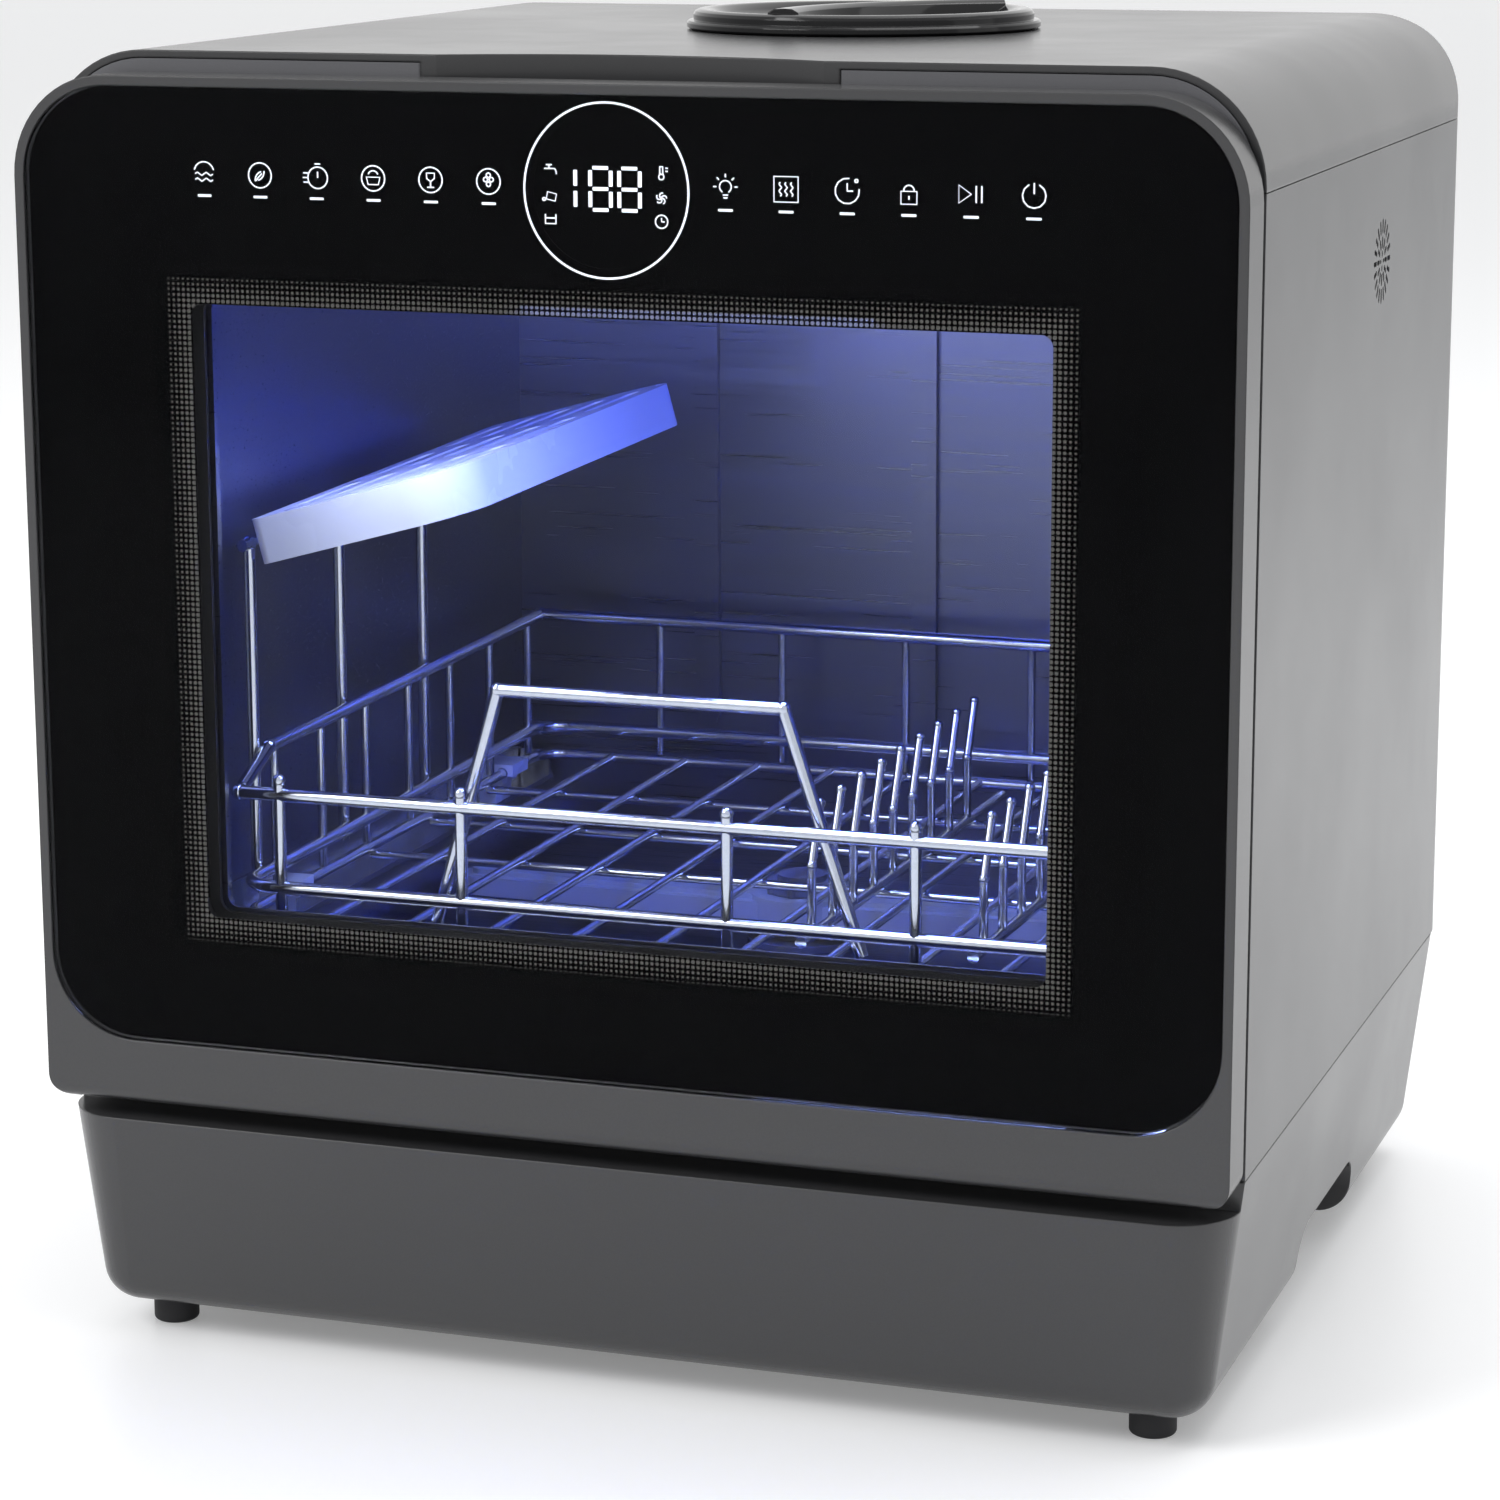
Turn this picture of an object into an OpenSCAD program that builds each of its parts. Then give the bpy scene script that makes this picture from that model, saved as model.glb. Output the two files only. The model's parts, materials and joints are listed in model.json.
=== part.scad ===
// Countertop dishwasher with a drop-down glass door.
// Millimetres. X to the right, -Y to the front, +Z up.
// The origin is on the table, under the middle of the footprint, hose spouts included.

/* [Body] */
// overall width
body_w = 420; // [412:1:430]
// overall depth, door included
body_d = 380; // [372:1:392]
// overall height without the filler lid
body_h = 449; // [446:1:456]
// height of the seam between base and side panels
base_h = 92; // [91:0.5:93]
// radius of the top cover's long edges
top_r = 37; // [34:0.5:40]
// radius of the back corners, seen from above
back_r = 20; // [18:0.5:22]
// wall of the moulded casing
wall = 2.5; // [2.2:0.1:2.8]
// seam between casing mouldings
seam = 0.4; // [0.3:0.1:0.5]
// height of the top cover above the side panels
cover_h = 38; // [37:0.5:39]

/* [Base] */
// wall of the base shell
base_wall = 3; // [2.8:0.1:3.2]
// radius of the base's upright corners at its top
base_r = 24; // [23.5:0.5:26]
// radius of the roll along the base's lower edge
roll_r = 13; // [12:0.5:13.5]
// lean of the base's walls
base_lean = 7; // [6:0.25:7.5]
// height of the deck under the door
deck_z = 82; // [81:0.5:82.5]
// length of a hand grip
grip_len = 96; // [80:2:110]
// height of a hand grip above the base's lower edge
grip_rise = 24; // [20:1:28]
// depth of a hand grip from the side
grip_deep = 34; // [30:1:36]
// height of the feet
foot_h = 10; // [9:0.5:11]
// radius of a foot
foot_r = 8; // [7:0.5:9]
// distance of the feet from the base's edge
foot_in = 31; // [30:1:33]

/* [Door] */
// thickness of the door
door_t = 21; // [20.5:0.25:21.5]
// gap between the closed door and the casing
door_gap = 2; // [1.8:0.1:2.2]
// height of the door's lower edge
door_z0 = 88; // [87.5:0.25:88.5]
// drop of the door's upper edge below the top cover
door_drop = 7; // [6:0.5:9]
// radius of the door's upper corners
door_r = 34; // [32:0.5:36]
// radius of the door's lower corners
door_low_r = 9; // [7:0.5:10]
// rim between the outer glass and the door's edge
bezel = 3.6; // [3.2:0.1:4]
// height of the glass above the door's lower edge
glass_up = 23.5; // [23:0.5:25]
// radius of the glass's lower corners
glass_low_r = 30; // [26:1:33]
// thickness of the outer glass
glass_t = 3.2; // [3:0.1:3.4]
// distance of the clear window from the door's sides
win_side = 62; // [60:0.5:66]
// distance of the window from the door's upper edge
win_drop = 75; // [73:0.5:79]
// height of the window's lower edge
win_z = 157; // [155:0.5:160]
// height of the hinge axis
hinge_z = 100; // [99.5:0.25:100.5]
// distance of the hinge axis behind the door's face
hinge_in = 10; // [9.8:0.1:10.2]
// radius of a hinge pin
pin_r = 3; // [2.8:0.1:3.2]
// running gap of hinge pins and the cup shelf's rod
run_gap = 0.05; // [0.04:0.01:0.08]

/* [Controls] */
// radius of the display ring
ring_r = 28; // [26:0.2:29]
// distance of the display's middle from the door's upper edge
ring_drop = 34; // [33:0.5:35]
// distance of the first key from the middle
key_first = 40.4; // [40:0.2:41.4]
// distance between keys
key_step = 20.2; // [19.2:0.1:20.4]
// distance of the key symbols from the door's upper edge
key_drop = 32; // [31:0.5:33]
// size of a key symbol
key_size = 8.6; // [8:0.2:9]
// height of a digit
digit_h = 13.5; // [12:0.5:14]
// width of a digit
digit_w = 7; // [6:0.5:7.5]

/* [Tub and rack] */
// room between the casing's side and the tub
side_room = 40; // [38:0.5:42]
// height of the tub's floor
tub_z0 = 114; // [113.5:0.5:114.5]
// room between the tub's ceiling and the top cover
roof_room = 29; // [28:0.5:31]
// room between the tub and the casing's back
back_room = 26.7; // [23.7:0.5:32.7]
// thickness of the steel sheet
sheet = 1.5; // [1.4:0.1:1.6]
// height of the rack's bottom wires
rack_z0 = 149; // [148.5:0.25:149.5]
// height of the rack's lower rail
rack_z1 = 160; // [158:0.5:162]
// height of the rack's front rail
rack_z2 = 193; // [191:0.5:195]
// height of the rack's side and back rails
rack_z3 = 204; // [202:0.5:206]
// room between the rack and the tub's side
rack_room = 18; // [17:0.5:20]
// distance of the rack's front behind the door's face
rack_in = 40; // [39:0.5:42]
// room between the rack and the tub's back
rack_rear = 27.3; // [23.3:0.5:33.3]
// thickness of the rack's rails
rail_d = 4.8; // [4.4:0.1:5]
// thickness of the rack's thin wires
wire_d = 3.2; // [3:0.1:3.4]
// number of upright tines in a row
tines = 9; // [6:1:10]
// height of the plate tines
tine_h = 44; // [38:1:48]
// height of the cup shelf's hinge
shelf_z = 276; // [274:0.5:278]
// width of the cup shelf from its hinge
shelf_w = 86; // [82:1:90]
// depth of the cup shelf
shelf_d = 226; // [210:2:230]
// thickness of the cup shelf at its rim
shelf_t = 16; // [14:0.5:17]
// tilt of the cup shelf in use
shelf_tilt = 15.5; // [13:0.5:18]

/* [Washing] */
// room between the turning spray arm and the tub's side
arm_room = 36; // [32:1:44]
// width of an arm at the hub
arm_w = 30; // [26:1:32]
// thickness of the spray arm
arm_t = 9; // [8:0.5:9.5]
// nozzles on each arm
nozzles = 5; // [3:1:6]
// distance of the filter from the tub's right side
filter_in = 84; // [82:1:88]
// place of the filter, front to back
filter_y = -88; // [-90:1:-84]
// radius of the filter cup
cup_r = 35; // [33:0.5:36]
// radius of the round side grille
grille_r = 15; // [14:0.5:17]
// slots in the grille's outer ring
grille_slots = 20; // [16:2:24]

/* [Lid] */
// radius of the filler lid
lid_r = 64; // [60:1:66]
// place of the lid, across
lid_x = 18; // [10:1:22]
// place of the lid, front to back
lid_y = 30; // [24:1:36]
// height of the lid above the top cover
lid_h = 9; // [8:0.5:10]

/* [Hidden] */
$fn = 64;
over = 1;
gap = 0.3;
front = -body_d / 2;
back = body_d / 2;
case_front = front + door_t + door_gap;
door_back = front + door_t;
door_z1 = body_h - door_drop;
seam_z = body_h - cover_h;
hinge_y = front + hinge_in;
base_flat = base_r - (base_h - foot_h - roll_r) * tan(base_lean) - roll_r / cos(base_lean);
frame_t = 8;
frame_back = case_front + frame_t;
tub_front = frame_back + gap;
tub_back = back - back_room;
tub_w = body_w - 2 * side_room;
tub_z1 = body_h - roof_room;
tub_r = 20;
mouth_w = tub_w - 12;
mouth_z0 = tub_z0 + 7;
mouth_z1 = tub_z1 - 7;
mouth_r = 22;
gasket_w = 6;
gasket_in = 5;
glass_z0 = door_z0 + glass_up;
glass_front = front - 0.2;
glass_back = glass_front + glass_t;
ink_t = 0.25;
display_y = glass_back + 2 * ink_t + 0.2;
tray_front = front + 3.7;
tray_t = 2.2;
door_wall = 4;
liner_t = 1;
liner_y = door_back - liner_t;
win_w = body_w - 2 * win_side;
win_h = door_z1 - win_drop - win_z;
window_lap = 5;
ring_z = door_z1 - ring_drop;
key_z = door_z1 - key_drop;
inner_glass_t = 3;
inner_lap = 10;
rack_y = front + rack_in;
rack_back = tub_back - rack_rear;
rack_d = rack_back - rack_y;
rack_x = tub_w / 2 - rack_room;
loop_d = 4;
front_d = 4.2;
rod_d = 4.2;
knob_more = 0.6;
bend_r = 12;
long_wires = 9;
cross_wires = 4;
side_posts = 6;
front_posts = [-0.9, -0.454, 0.178, 0.612] * rack_x;
long_step = 2 * rack_x / (long_wires + 1);
cross_step = rack_d / (cross_wires + 1);
cross_z = rack_z0 - loop_d / 2 - wire_d / 2 + 0.5;
post_z0 = rack_z0 + loop_d / 2 + gap;
post_y0 = rack_y + bend_r + 18;
post_step = (rack_d - 2 * bend_r - 20) / side_posts;
arch_y = rack_y + 14;
glide_z0 = rack_z0 - 12;
shelf_x = -rack_x - rail_d / 2 - front_d / 2 - gap;
shelf_y = rack_y + 18;
shelf_posts_y = [for (i = [0:2]) shelf_y + 6 + i * 0.34 * shelf_d];
post_y = 10;
post_r = 8;
arm_z = tub_z0 + 10;
arm_r = tub_w / 2 - arm_room;
filter_x = tub_w / 2 - filter_in;
pan_z = foot_h + base_wall;
floor_z = pan_z + wall;
grille_y = 26;
grille_z = seam_z - 40;
lid_seat_r = lid_r - 6;
lamp_y = -70;
lock_x = 96;
lock_z = mouth_z1 + 15.5;
fill_y = lid_y;
tank_x1 = 152 - body_w / 2;
tank_z1 = 84;
pump_x = body_w / 2 - 82;
pump_y = 34;
pump_z = 52;
hinge_x = body_w / 2 - 20;
pocket_z = hinge_z + 10.5;
connector_z = 52;
inlet_x = 80 - body_w / 2;
inlet_r = 13.2;
drain_x = inlet_x + 50;
drain_r = 9.5;
gland_x = body_w / 2 - 78;
gland_r = 6;
neck_less = 1.5;
spout_end = 16;
mid_y = (glass_front + back + spout_end) / 2;

// ---------- shared outlines ----------

// A rounded rectangle round the origin.
module rounded(w, h, r) {
    square([w - 2 * r, h], center = true);
    square([w, h - 2 * r], center = true);
    for (sx = [-1, 1], sy = [-1, 1])
        translate([sx * (w / 2 - r), sy * (h / 2 - r)]) circle(r);
}

// An upright outline from z0 to z1 with its own upper and lower corner radii.
module upright_outline(w, z0, z1, r_up, r_low) {
    translate([-w / 2, z0 + r_low]) square([w, z1 - z0 - r_up - r_low]);
    translate([-w / 2 + r_up, z1 - r_up - over]) square([w - 2 * r_up, r_up + over]);
    translate([-w / 2 + r_low, z0]) square([w - 2 * r_low, r_low + over]);
    for (s = [-1, 1]) {
        translate([s * (w / 2 - r_up), z1 - r_up]) circle(r_up);
        translate([s * (w / 2 - r_low), z0 + r_low]) circle(r_low);
    }
}

// Stands a front-view outline up between two depths.
module facing(y0, y1) {
    translate([0, y1, 0]) rotate([90, 0, 0]) linear_extrude(y1 - y0) children();
}

// Stands a side-view outline up between two places across.
module sideways(x0, x1) {
    translate([x0, 0, 0]) rotate([90, 0, 90]) linear_extrude(x1 - x0) children();
}

// A box from its corners.
module box(x0, x1, y0, y1, z0, z1) {
    translate([x0, y0, z0]) cube([x1 - x0, y1 - y0, z1 - z0]);
}

// A round bar between two points.
module bar(p, q, d) {
    v = q - p;
    translate(p) rotate([0, acos(v.z / norm(v)), atan2(v.y, v.x)]) cylinder(h = norm(v), d = d, $fn = 16);
}

// A round knob that closes a wire's end or joins two bars.
module knob(p, d) {
    translate(p) sphere(d = d + knob_more, $fn = 16);
}

// The casing's outline from above, with square front and round back corners.
module casing_plan(inset) {
    w = body_w - 2 * inset;
    r = back_r - inset;
    translate([-w / 2, case_front - over]) square([w, back - r - inset - case_front + over]);
    translate([-w / 2 + r, case_front]) square([w - 2 * r, back - inset - case_front]);
    for (s = [-1, 1]) translate([s * (w / 2 - r), back - r - inset]) circle(r);
}

// The casing as a block, drawn in by a margin, with its long top edges rounded.
module casing_block(inset) {
    intersection() {
        facing(case_front - over, back + over)
            upright_outline(body_w - 2 * inset, base_h - 2 * over, body_h - inset, top_r - inset, over);
        translate([0, 0, base_h - 3 * over]) linear_extrude(body_h) casing_plan(inset);
    }
}

// ---------- base ----------

// Section of the base's leaning wall and rolled edge, from its corner centre outwards.
module base_section(inset, top) {
    r = roll_r - inset;
    zc = foot_h + roll_r;
    edge = base_r - inset / cos(base_lean) + (top - base_h) * tan(base_lean);
    polygon([
        [0, foot_h + inset],
        [base_flat, foot_h + inset],
        [base_flat + r * cos(base_lean), zc - r * sin(base_lean)],
        [edge, top],
        [0, top],
    ]);
    intersection() {
        translate([base_flat, zc]) circle(r);
        translate([0, foot_h]) square([base_r, base_h]);
    }
}

// The base's body drawn in by a margin, with swept corners.
module base_body(inset, top) {
    cx = body_w / 2 - base_r;
    cy = body_d / 2 - base_r;
    translate([-cx, -cy, foot_h + inset]) cube([2 * cx, 2 * cy, top - foot_h - inset]);
    for (a = [0, 1, 2, 3]) {
        side = a % 2 == 0 ? cx : cy;
        run = a % 2 == 0 ? cy : cx;
        rotate([0, 0, 90 * a]) {
            translate([side, run, 0]) rotate_extrude(angle = 90) base_section(inset, top);
            translate([side, run, 0]) rotate([90, 0, 0]) linear_extrude(2 * run) base_section(inset, top);
        }
    }
}

// A hand grip's hollow, drawn out by a margin.
module grip_hollow(s, margin) {
    rise = foot_h + grip_rise;
    inner = body_w / 2 - grip_deep - margin;
    mirror([s < 0 ? 1 : 0, 0, 0]) sideways(inner, body_w / 2 + over) intersection() {
        translate([post_y, foot_h]) rounded(grip_len + 2 * margin, 2 * (grip_rise + margin), 14 + margin);
        translate([post_y - grip_len, foot_h - over]) square([2 * grip_len, rise]);
    }
}

module base_shell() {
    cut_w = body_w - 2 * (base_r - base_flat) - 46;
    cut_d = body_d - 2 * (base_r - base_flat) - 46;
    color("#5a5b5e") difference() {
        union() {
            difference() {
                base_body(0, base_h);
                base_body(base_wall, base_h + over);
                box(-body_w, body_w, front - over, case_front, deck_z, base_h + 2 * over);
            }
            intersection() {
                base_body(0, base_h);
                union() {
                    box(-body_w, body_w, front, case_front + base_wall, deck_z - base_wall, deck_z);
                    box(-body_w, body_w, case_front, case_front + base_wall, deck_z - over, base_h);
                    for (s = [-1, 1]) grip_hollow(s, base_wall);
                    for (x = [-130, -65, 0, 65, 130])
                        box(x - 1, x + 1, front, case_front + base_wall, deck_z - 16, deck_z - over);
                }
            }
        }
        for (s = [-1, 1]) grip_hollow(s, 0);
        translate([0, 0, foot_h - over]) linear_extrude(base_wall + over) rounded(cut_w, cut_d, 12);
        connector_bores();
    }
}

// Bores in the base's back wall for the hoses and the cord.
module connector_bores() {
    for (c = [[inlet_x, inlet_r - neck_less], [drain_x, drain_r - neck_less], [gland_x, gland_r]])
        translate([c.x, back - 20, connector_z]) rotate([-90, 0, 0]) cylinder(h = 30, r = c.y + gap);
}

module base_pan() {
    pan_w = body_w - 2 * (base_r - base_flat) - 1;
    pan_d = body_d - 2 * (base_r - base_flat) - 1;
    grip_w = grip_deep + base_wall + 1 - (base_r - base_flat);
    color("#3c3d40") difference() {
        union() {
            translate([0, 0, pan_z]) linear_extrude(wall) rounded(pan_w, pan_d, 3);
            for (x = [-56, 30], y = [-120, 120])
                box(x - 1.2, x + 1.2, y - 30, y + 30, floor_z - 0.5, floor_z + 5);
        }
        for (s = [-1, 1])
            translate([s * (pan_w / 2 + 1 - grip_w / 2 - 1), post_y, pan_z - over])
                linear_extrude(wall + 2 * over)
                    square([grip_w + 4, grip_len + 2 * base_wall + 2], center = true);
        for (i = [-4:4])
            translate([i * 11 + 120, body_d / 2 - 52, pan_z - over])
                linear_extrude(wall + 2 * over) rounded(4.5, 40, 2);
    }
}

module feet() {
    color("#242426") for (sx = [-1, 1], sy = [-1, 1])
        translate([sx * (body_w / 2 - foot_in), sy * (body_d / 2 - foot_in), 0]) rotate_extrude()
            difference() {
                union() {
                    translate([0, 1.5]) square([foot_r, foot_h - gap - 1.5]);
                    square([foot_r - 1.5, 2]);
                    translate([foot_r - 1.5, 1.5]) circle(1.5);
                }
                translate([0, -over]) square([foot_r - 4, over + 1]);
                translate([-2 * foot_r, -over]) square([2 * foot_r, 2 * foot_h]);
            }
}

// ---------- casing ----------

// The part of a casing ring that one side panel takes.
module side_panel(s) {
    z0 = base_h + seam;
    z1 = seam_z - seam;
    flange = 14;
    difference() {
        union() {
            intersection() {
                translate([0, 0, z0]) linear_extrude(z1 - z0) difference() {
                    casing_plan(0);
                    casing_plan(wall);
                    translate([-body_w, case_front - 3 * over]) square([2 * body_w, 3 * over]);
                }
                mirror([s < 0 ? 1 : 0, 0, 0])
                    box(body_w / 2 - back_r, body_w, case_front, back + over, z0 - over, z1 + over);
            }
            mirror([s < 0 ? 1 : 0, 0, 0]) {
                box(body_w / 2 - flange, body_w / 2 - 1, case_front, case_front + wall, z0, z1);
                for (z = [z0 + 90, z0 + 200])
                    box(body_w / 2 - 6, body_w / 2 - 2, case_front + 30, case_front + 260, z, z + 2);
            }
        }
        if (s > 0) grille_cut();
    }
}

// Rings of radial slots through the right side panel.
module grille_cut() {
    translate([body_w / 2 - 12, grille_y, grille_z]) rotate([0, 90, 0]) {
        for (i = [0:grille_slots - 1]) rotate([0, 0, i * 360 / grille_slots])
            translate([grille_r * 0.82, 0, 0]) linear_extrude(20) rounded(grille_r * 0.34, 1.7, 0.8);
        for (i = [0:11]) rotate([0, 0, i * 30])
            translate([grille_r * 0.44, 0, 0]) linear_extrude(20) rounded(grille_r * 0.28, 1.7, 0.8);
        for (i = [0:3]) rotate([0, 0, i * 90])
            translate([grille_r * 0.17, 0, 0]) linear_extrude(20) rounded(grille_r * 0.14, 1.4, 0.6);
    }
}

module side_panel_left() {
    color("#5a5b5e") side_panel(-1);
}

module side_panel_right() {
    color("#5a5b5e") side_panel(1);
}

// The finger scoop behind the door's upper edge, drawn out by a margin.
module scoop(margin) {
    chord = 66.5;
    sag = 15;
    arc_r = (chord * chord + sag * sag) / (2 * sag);
    depth = 15;
    intersection() {
        translate([0, case_front - arc_r + sag, body_h - depth - margin])
            cylinder(h = depth + margin + over, r = arc_r + margin, $fn = 200);
        box(-90, 90, case_front - over, case_front + 2 * sag, body_h - 30, body_h + 2 * over);
    }
}

module top_cover() {
    color("#5a5b5e") difference() {
        union() {
            difference() {
                intersection() {
                    casing_block(0);
                    box(-body_w, body_w, case_front, back + over, seam_z, body_h + over);
                }
                casing_block(wall);
            }
            intersection() {
                casing_block(0);
                scoop(wall);
                box(-body_w, body_w, case_front, back, seam_z, body_h);
            }
            for (x = [-150, 150])
                box(x - 1, x + 1, case_front + frame_t + 4, back - 30, body_h - 12, body_h - 1);
        }
        scoop(0);
        translate([lid_x, lid_y, body_h - 20]) cylinder(h = 30, r = lid_seat_r + gap, $fn = 96);
    }
}

module back_panel() {
    z0 = base_h + seam;
    z1 = seam_z - seam;
    half = body_w / 2 - back_r - seam;
    color("#3c3d40") difference() {
        union() {
            facing(back - wall, back)
                translate([0, (z0 + z1) / 2]) square([2 * half, z1 - z0], center = true);
            for (x = [-100, 0, 100]) facing(back - wall - 4, back - wall + 1)
                translate([x, (z0 + z1) / 2]) square([3, z1 - z0 - 40], center = true);
        }
        for (i = [0:7], s = [-1, 1]) facing(back - 10, back + over)
            translate([s * 50, (z0 + z1) / 2 + 31 + i * 12]) rounded(64, 4.5, 2.2);
        for (x = [-half + 9, half - 9], z = [z0 + 12, (z0 + z1) / 2, z1 - 12])
            translate([x, back + over, z]) rotate([90, 0, 0]) cylinder(h = 20, r = 1.9);
    }
}

module case_screws() {
    z0 = base_h + seam;
    z1 = seam_z - seam;
    half = body_w / 2 - back_r - seam;
    color("#b8babd") for (x = [-half + 9, half - 9], z = [z0 + 12, (z0 + z1) / 2, z1 - 12])
        translate([x, back + gap, z]) rotate([-90, 0, 0]) {
            cylinder(h = 1.8, r = 3.6);
            translate([0, 0, -8]) cylinder(h = 9, r = 1.5);
        }
}

// Ring outline round the tub's mouth.
module mouth_outline(out) {
    upright_outline(mouth_w + 2 * out, mouth_z0 - out, mouth_z1 + out, mouth_r + out, mouth_r + out);
}

module front_frame() {
    color("#4a4b4e") difference() {
        facing(case_front, frame_back)
            upright_outline(body_w - 2 * wall - 2 * gap, base_h + gap, body_h - wall - gap,
                top_r - wall - gap, 1);
        facing(case_front - over, frame_back + over) mouth_outline(0);
        facing(case_front - over, case_front + 3) difference() {
            mouth_outline(gasket_in + gasket_w + gap);
            mouth_outline(gasket_in - gap);
        }
        scoop(wall + gap);
        for (s = [-1, 1]) mirror([s < 0 ? 1 : 0, 0, 0])
            box(body_w / 2 - 15, body_w / 2, case_front - over, case_front + wall + gap,
                base_h, seam_z + over);
        facing(case_front - over, frame_back + over)
            translate([lock_x, lock_z]) square([26, 7], center = true);
    }
}

module door_gasket() {
    color("#1c1c1e") facing(door_back + gap, case_front + 3 - gap) difference() {
        mouth_outline(gasket_in + gasket_w);
        mouth_outline(gasket_in);
    }
}

module door_catch() {
    y0 = frame_back + gap;
    color("#2b2c2f") difference() {
        box(lock_x - 17, lock_x + 17, y0, y0 + 22, lock_z - 6.5, lock_z + 6.5);
        box(lock_x - 11, lock_x + 11, y0 - over, y0 + 19, lock_z - 3.6, lock_z + 3.6);
    }
    color("#2b2c2f") for (s = [-1, 1])
        translate([lock_x + s * 9.6, y0 + 6, lock_z - 4]) cylinder(h = 8, r = 2.2);
}

// ---------- tub ----------

// Outline of the tub's sheet from the front, drawn out by a margin.
module tub_outline(out) {
    upright_outline(tub_w + 2 * out, tub_z0 - out, tub_z1 + out, tub_r + out, tub_r + out);
}

// The wrapped sheet of floor, sides and ceiling, open at the front and the back.
module tub() {
    color("#c9ccd0") difference() {
        union() {
            facing(tub_front, tub_back - sheet) tub_outline(sheet);
            translate([filter_x, filter_y, tub_z0 - 4]) cylinder(h = 4, r = cup_r + 14);
        }
        facing(tub_front - over, tub_back + over) tub_outline(0);
        translate([filter_x, filter_y, tub_z0 - 10]) cylinder(h = 20, r = cup_r + 9);
        translate([0, post_y, tub_z0 - 10]) cylinder(h = 20, r = post_r + 3 + gap);
        translate([0, grille_y, grille_z]) rotate([0, 90, 0]) cylinder(h = tub_w, r = 12);
        translate([0, lamp_y, tub_z1 - 10]) cylinder(h = 20, r = 13 + gap);
    }
}

// The back sheet, welded to the wrapped sheet, with three pressed ribs.
module tub_rear() {
    color("#c9ccd0") {
        facing(tub_back - sheet, tub_back) tub_outline(sheet);
        facing(tub_back - sheet - 3, tub_back - sheet + 0.5) for (x = [-90, 0, 90])
            translate([x, (tub_z0 + tub_z1) / 2]) rounded(10, tub_z1 - tub_z0 - 90, 4.9);
    }
}

module rack_rails() {
    x1 = tub_w / 2 - gap;
    color("#d5d7da") for (s = [-1, 1]) mirror([s < 0 ? 1 : 0, 0, 0]) {
        facing(tub_front + 8, tub_back - sheet - 6) polygon([
            [x1, glide_z0 - 2 - gap],
            [x1, glide_z0 + 16],
            [x1 - 1.5, glide_z0 + 16],
            [x1 - 1.5, glide_z0 - gap],
            [x1 - 15, glide_z0 - gap],
            [x1 - 15, glide_z0 - 2 - gap],
        ]);
        box(x1 - 14, x1 - 2, tub_back - sheet - 9, tub_back - sheet - 6, glide_z0 - 2 * gap, glide_z0 + 9);
    }
}

// The wash water's path under the tub.
module sump() {
    top = tub_z0 - 4 - gap;
    r = cup_r + 12;
    color("#3f4043") translate([filter_x, filter_y, 0]) difference() {
        union() {
            rotate_extrude() polygon([[0, 58], [r - 14, 58], [r, 78], [r, top - 3], [r + 6, top - 3],
                [r + 6, top], [0, top]]);
            translate([0, 0, 66]) rotate([0, 0, 90]) rotate([0, 90, 0]) cylinder(h = r + 8, r = 9);
            for (a = [45, 135, 225, 315]) rotate([0, 0, a])
                translate([r - 15, -1.5, floor_z + gap]) cube([3, 3, 64 - floor_z]);
        }
        rotate_extrude() polygon([[0, 61], [r - 16, 61], [r - 3, 79], [r - 3, top + over], [0, top + over]]);
        translate([0, 0, 66]) rotate([0, 0, 90]) rotate([0, 90, 0]) cylinder(h = r + 20, r = 7);
    }
}

module filter_plate() {
    w = 150;
    d = 118;
    z = tub_z0 + gap;
    color("#d5d7da") difference() {
        translate([filter_x - 10, filter_y + 2, z]) linear_extrude(1.4) rounded(w, d, 10);
        translate([filter_x, filter_y, z - over]) cylinder(h = 4, r = cup_r - 2.4);
        for (i = [-6:6], s = [-1, 1]) if (abs(i) > 4)
            translate([filter_x - 10 + i * 11, filter_y + 2 + s * 28, z - over])
                linear_extrude(4) rounded(4, 44, 1.9);
        for (i = [-3:3], s = [-1, 1])
            translate([filter_x - 10 + i * 11, filter_y + 2 + s * 50, z - over])
                linear_extrude(4) rounded(4, 9, 1.9);
    }
}

module filter_cup() {
    z0 = tub_z0 - 42;
    z1 = tub_z0 + 2.2;
    color("#8f9295") translate([filter_x, filter_y, 0]) {
        difference() {
            union() {
                translate([0, 0, z0]) cylinder(h = z1 - z0, r = cup_r - 3);
                translate([0, 0, z1 - 0.2]) cylinder(h = 2, r = cup_r + 1);
            }
            translate([0, 0, z0 + 2]) cylinder(h = z1 - z0, r = cup_r - 5);
            for (i = [0:7]) rotate([0, 0, i * 45])
                translate([cup_r - 8, -6, z0 + 6]) cube([8, 12, z1 - z0 - 14]);
        }
        translate([-cup_r + 4, -2, z1 - 6]) cube([2 * cup_r - 8, 4, 9.5]);
        for (i = [0:7], z = [12, 19, 26]) rotate([0, 0, i * 45])
            translate([cup_r - 4.6, -6.5, z0 + z]) cube([1, 13, 1.2]);
    }
}

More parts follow.
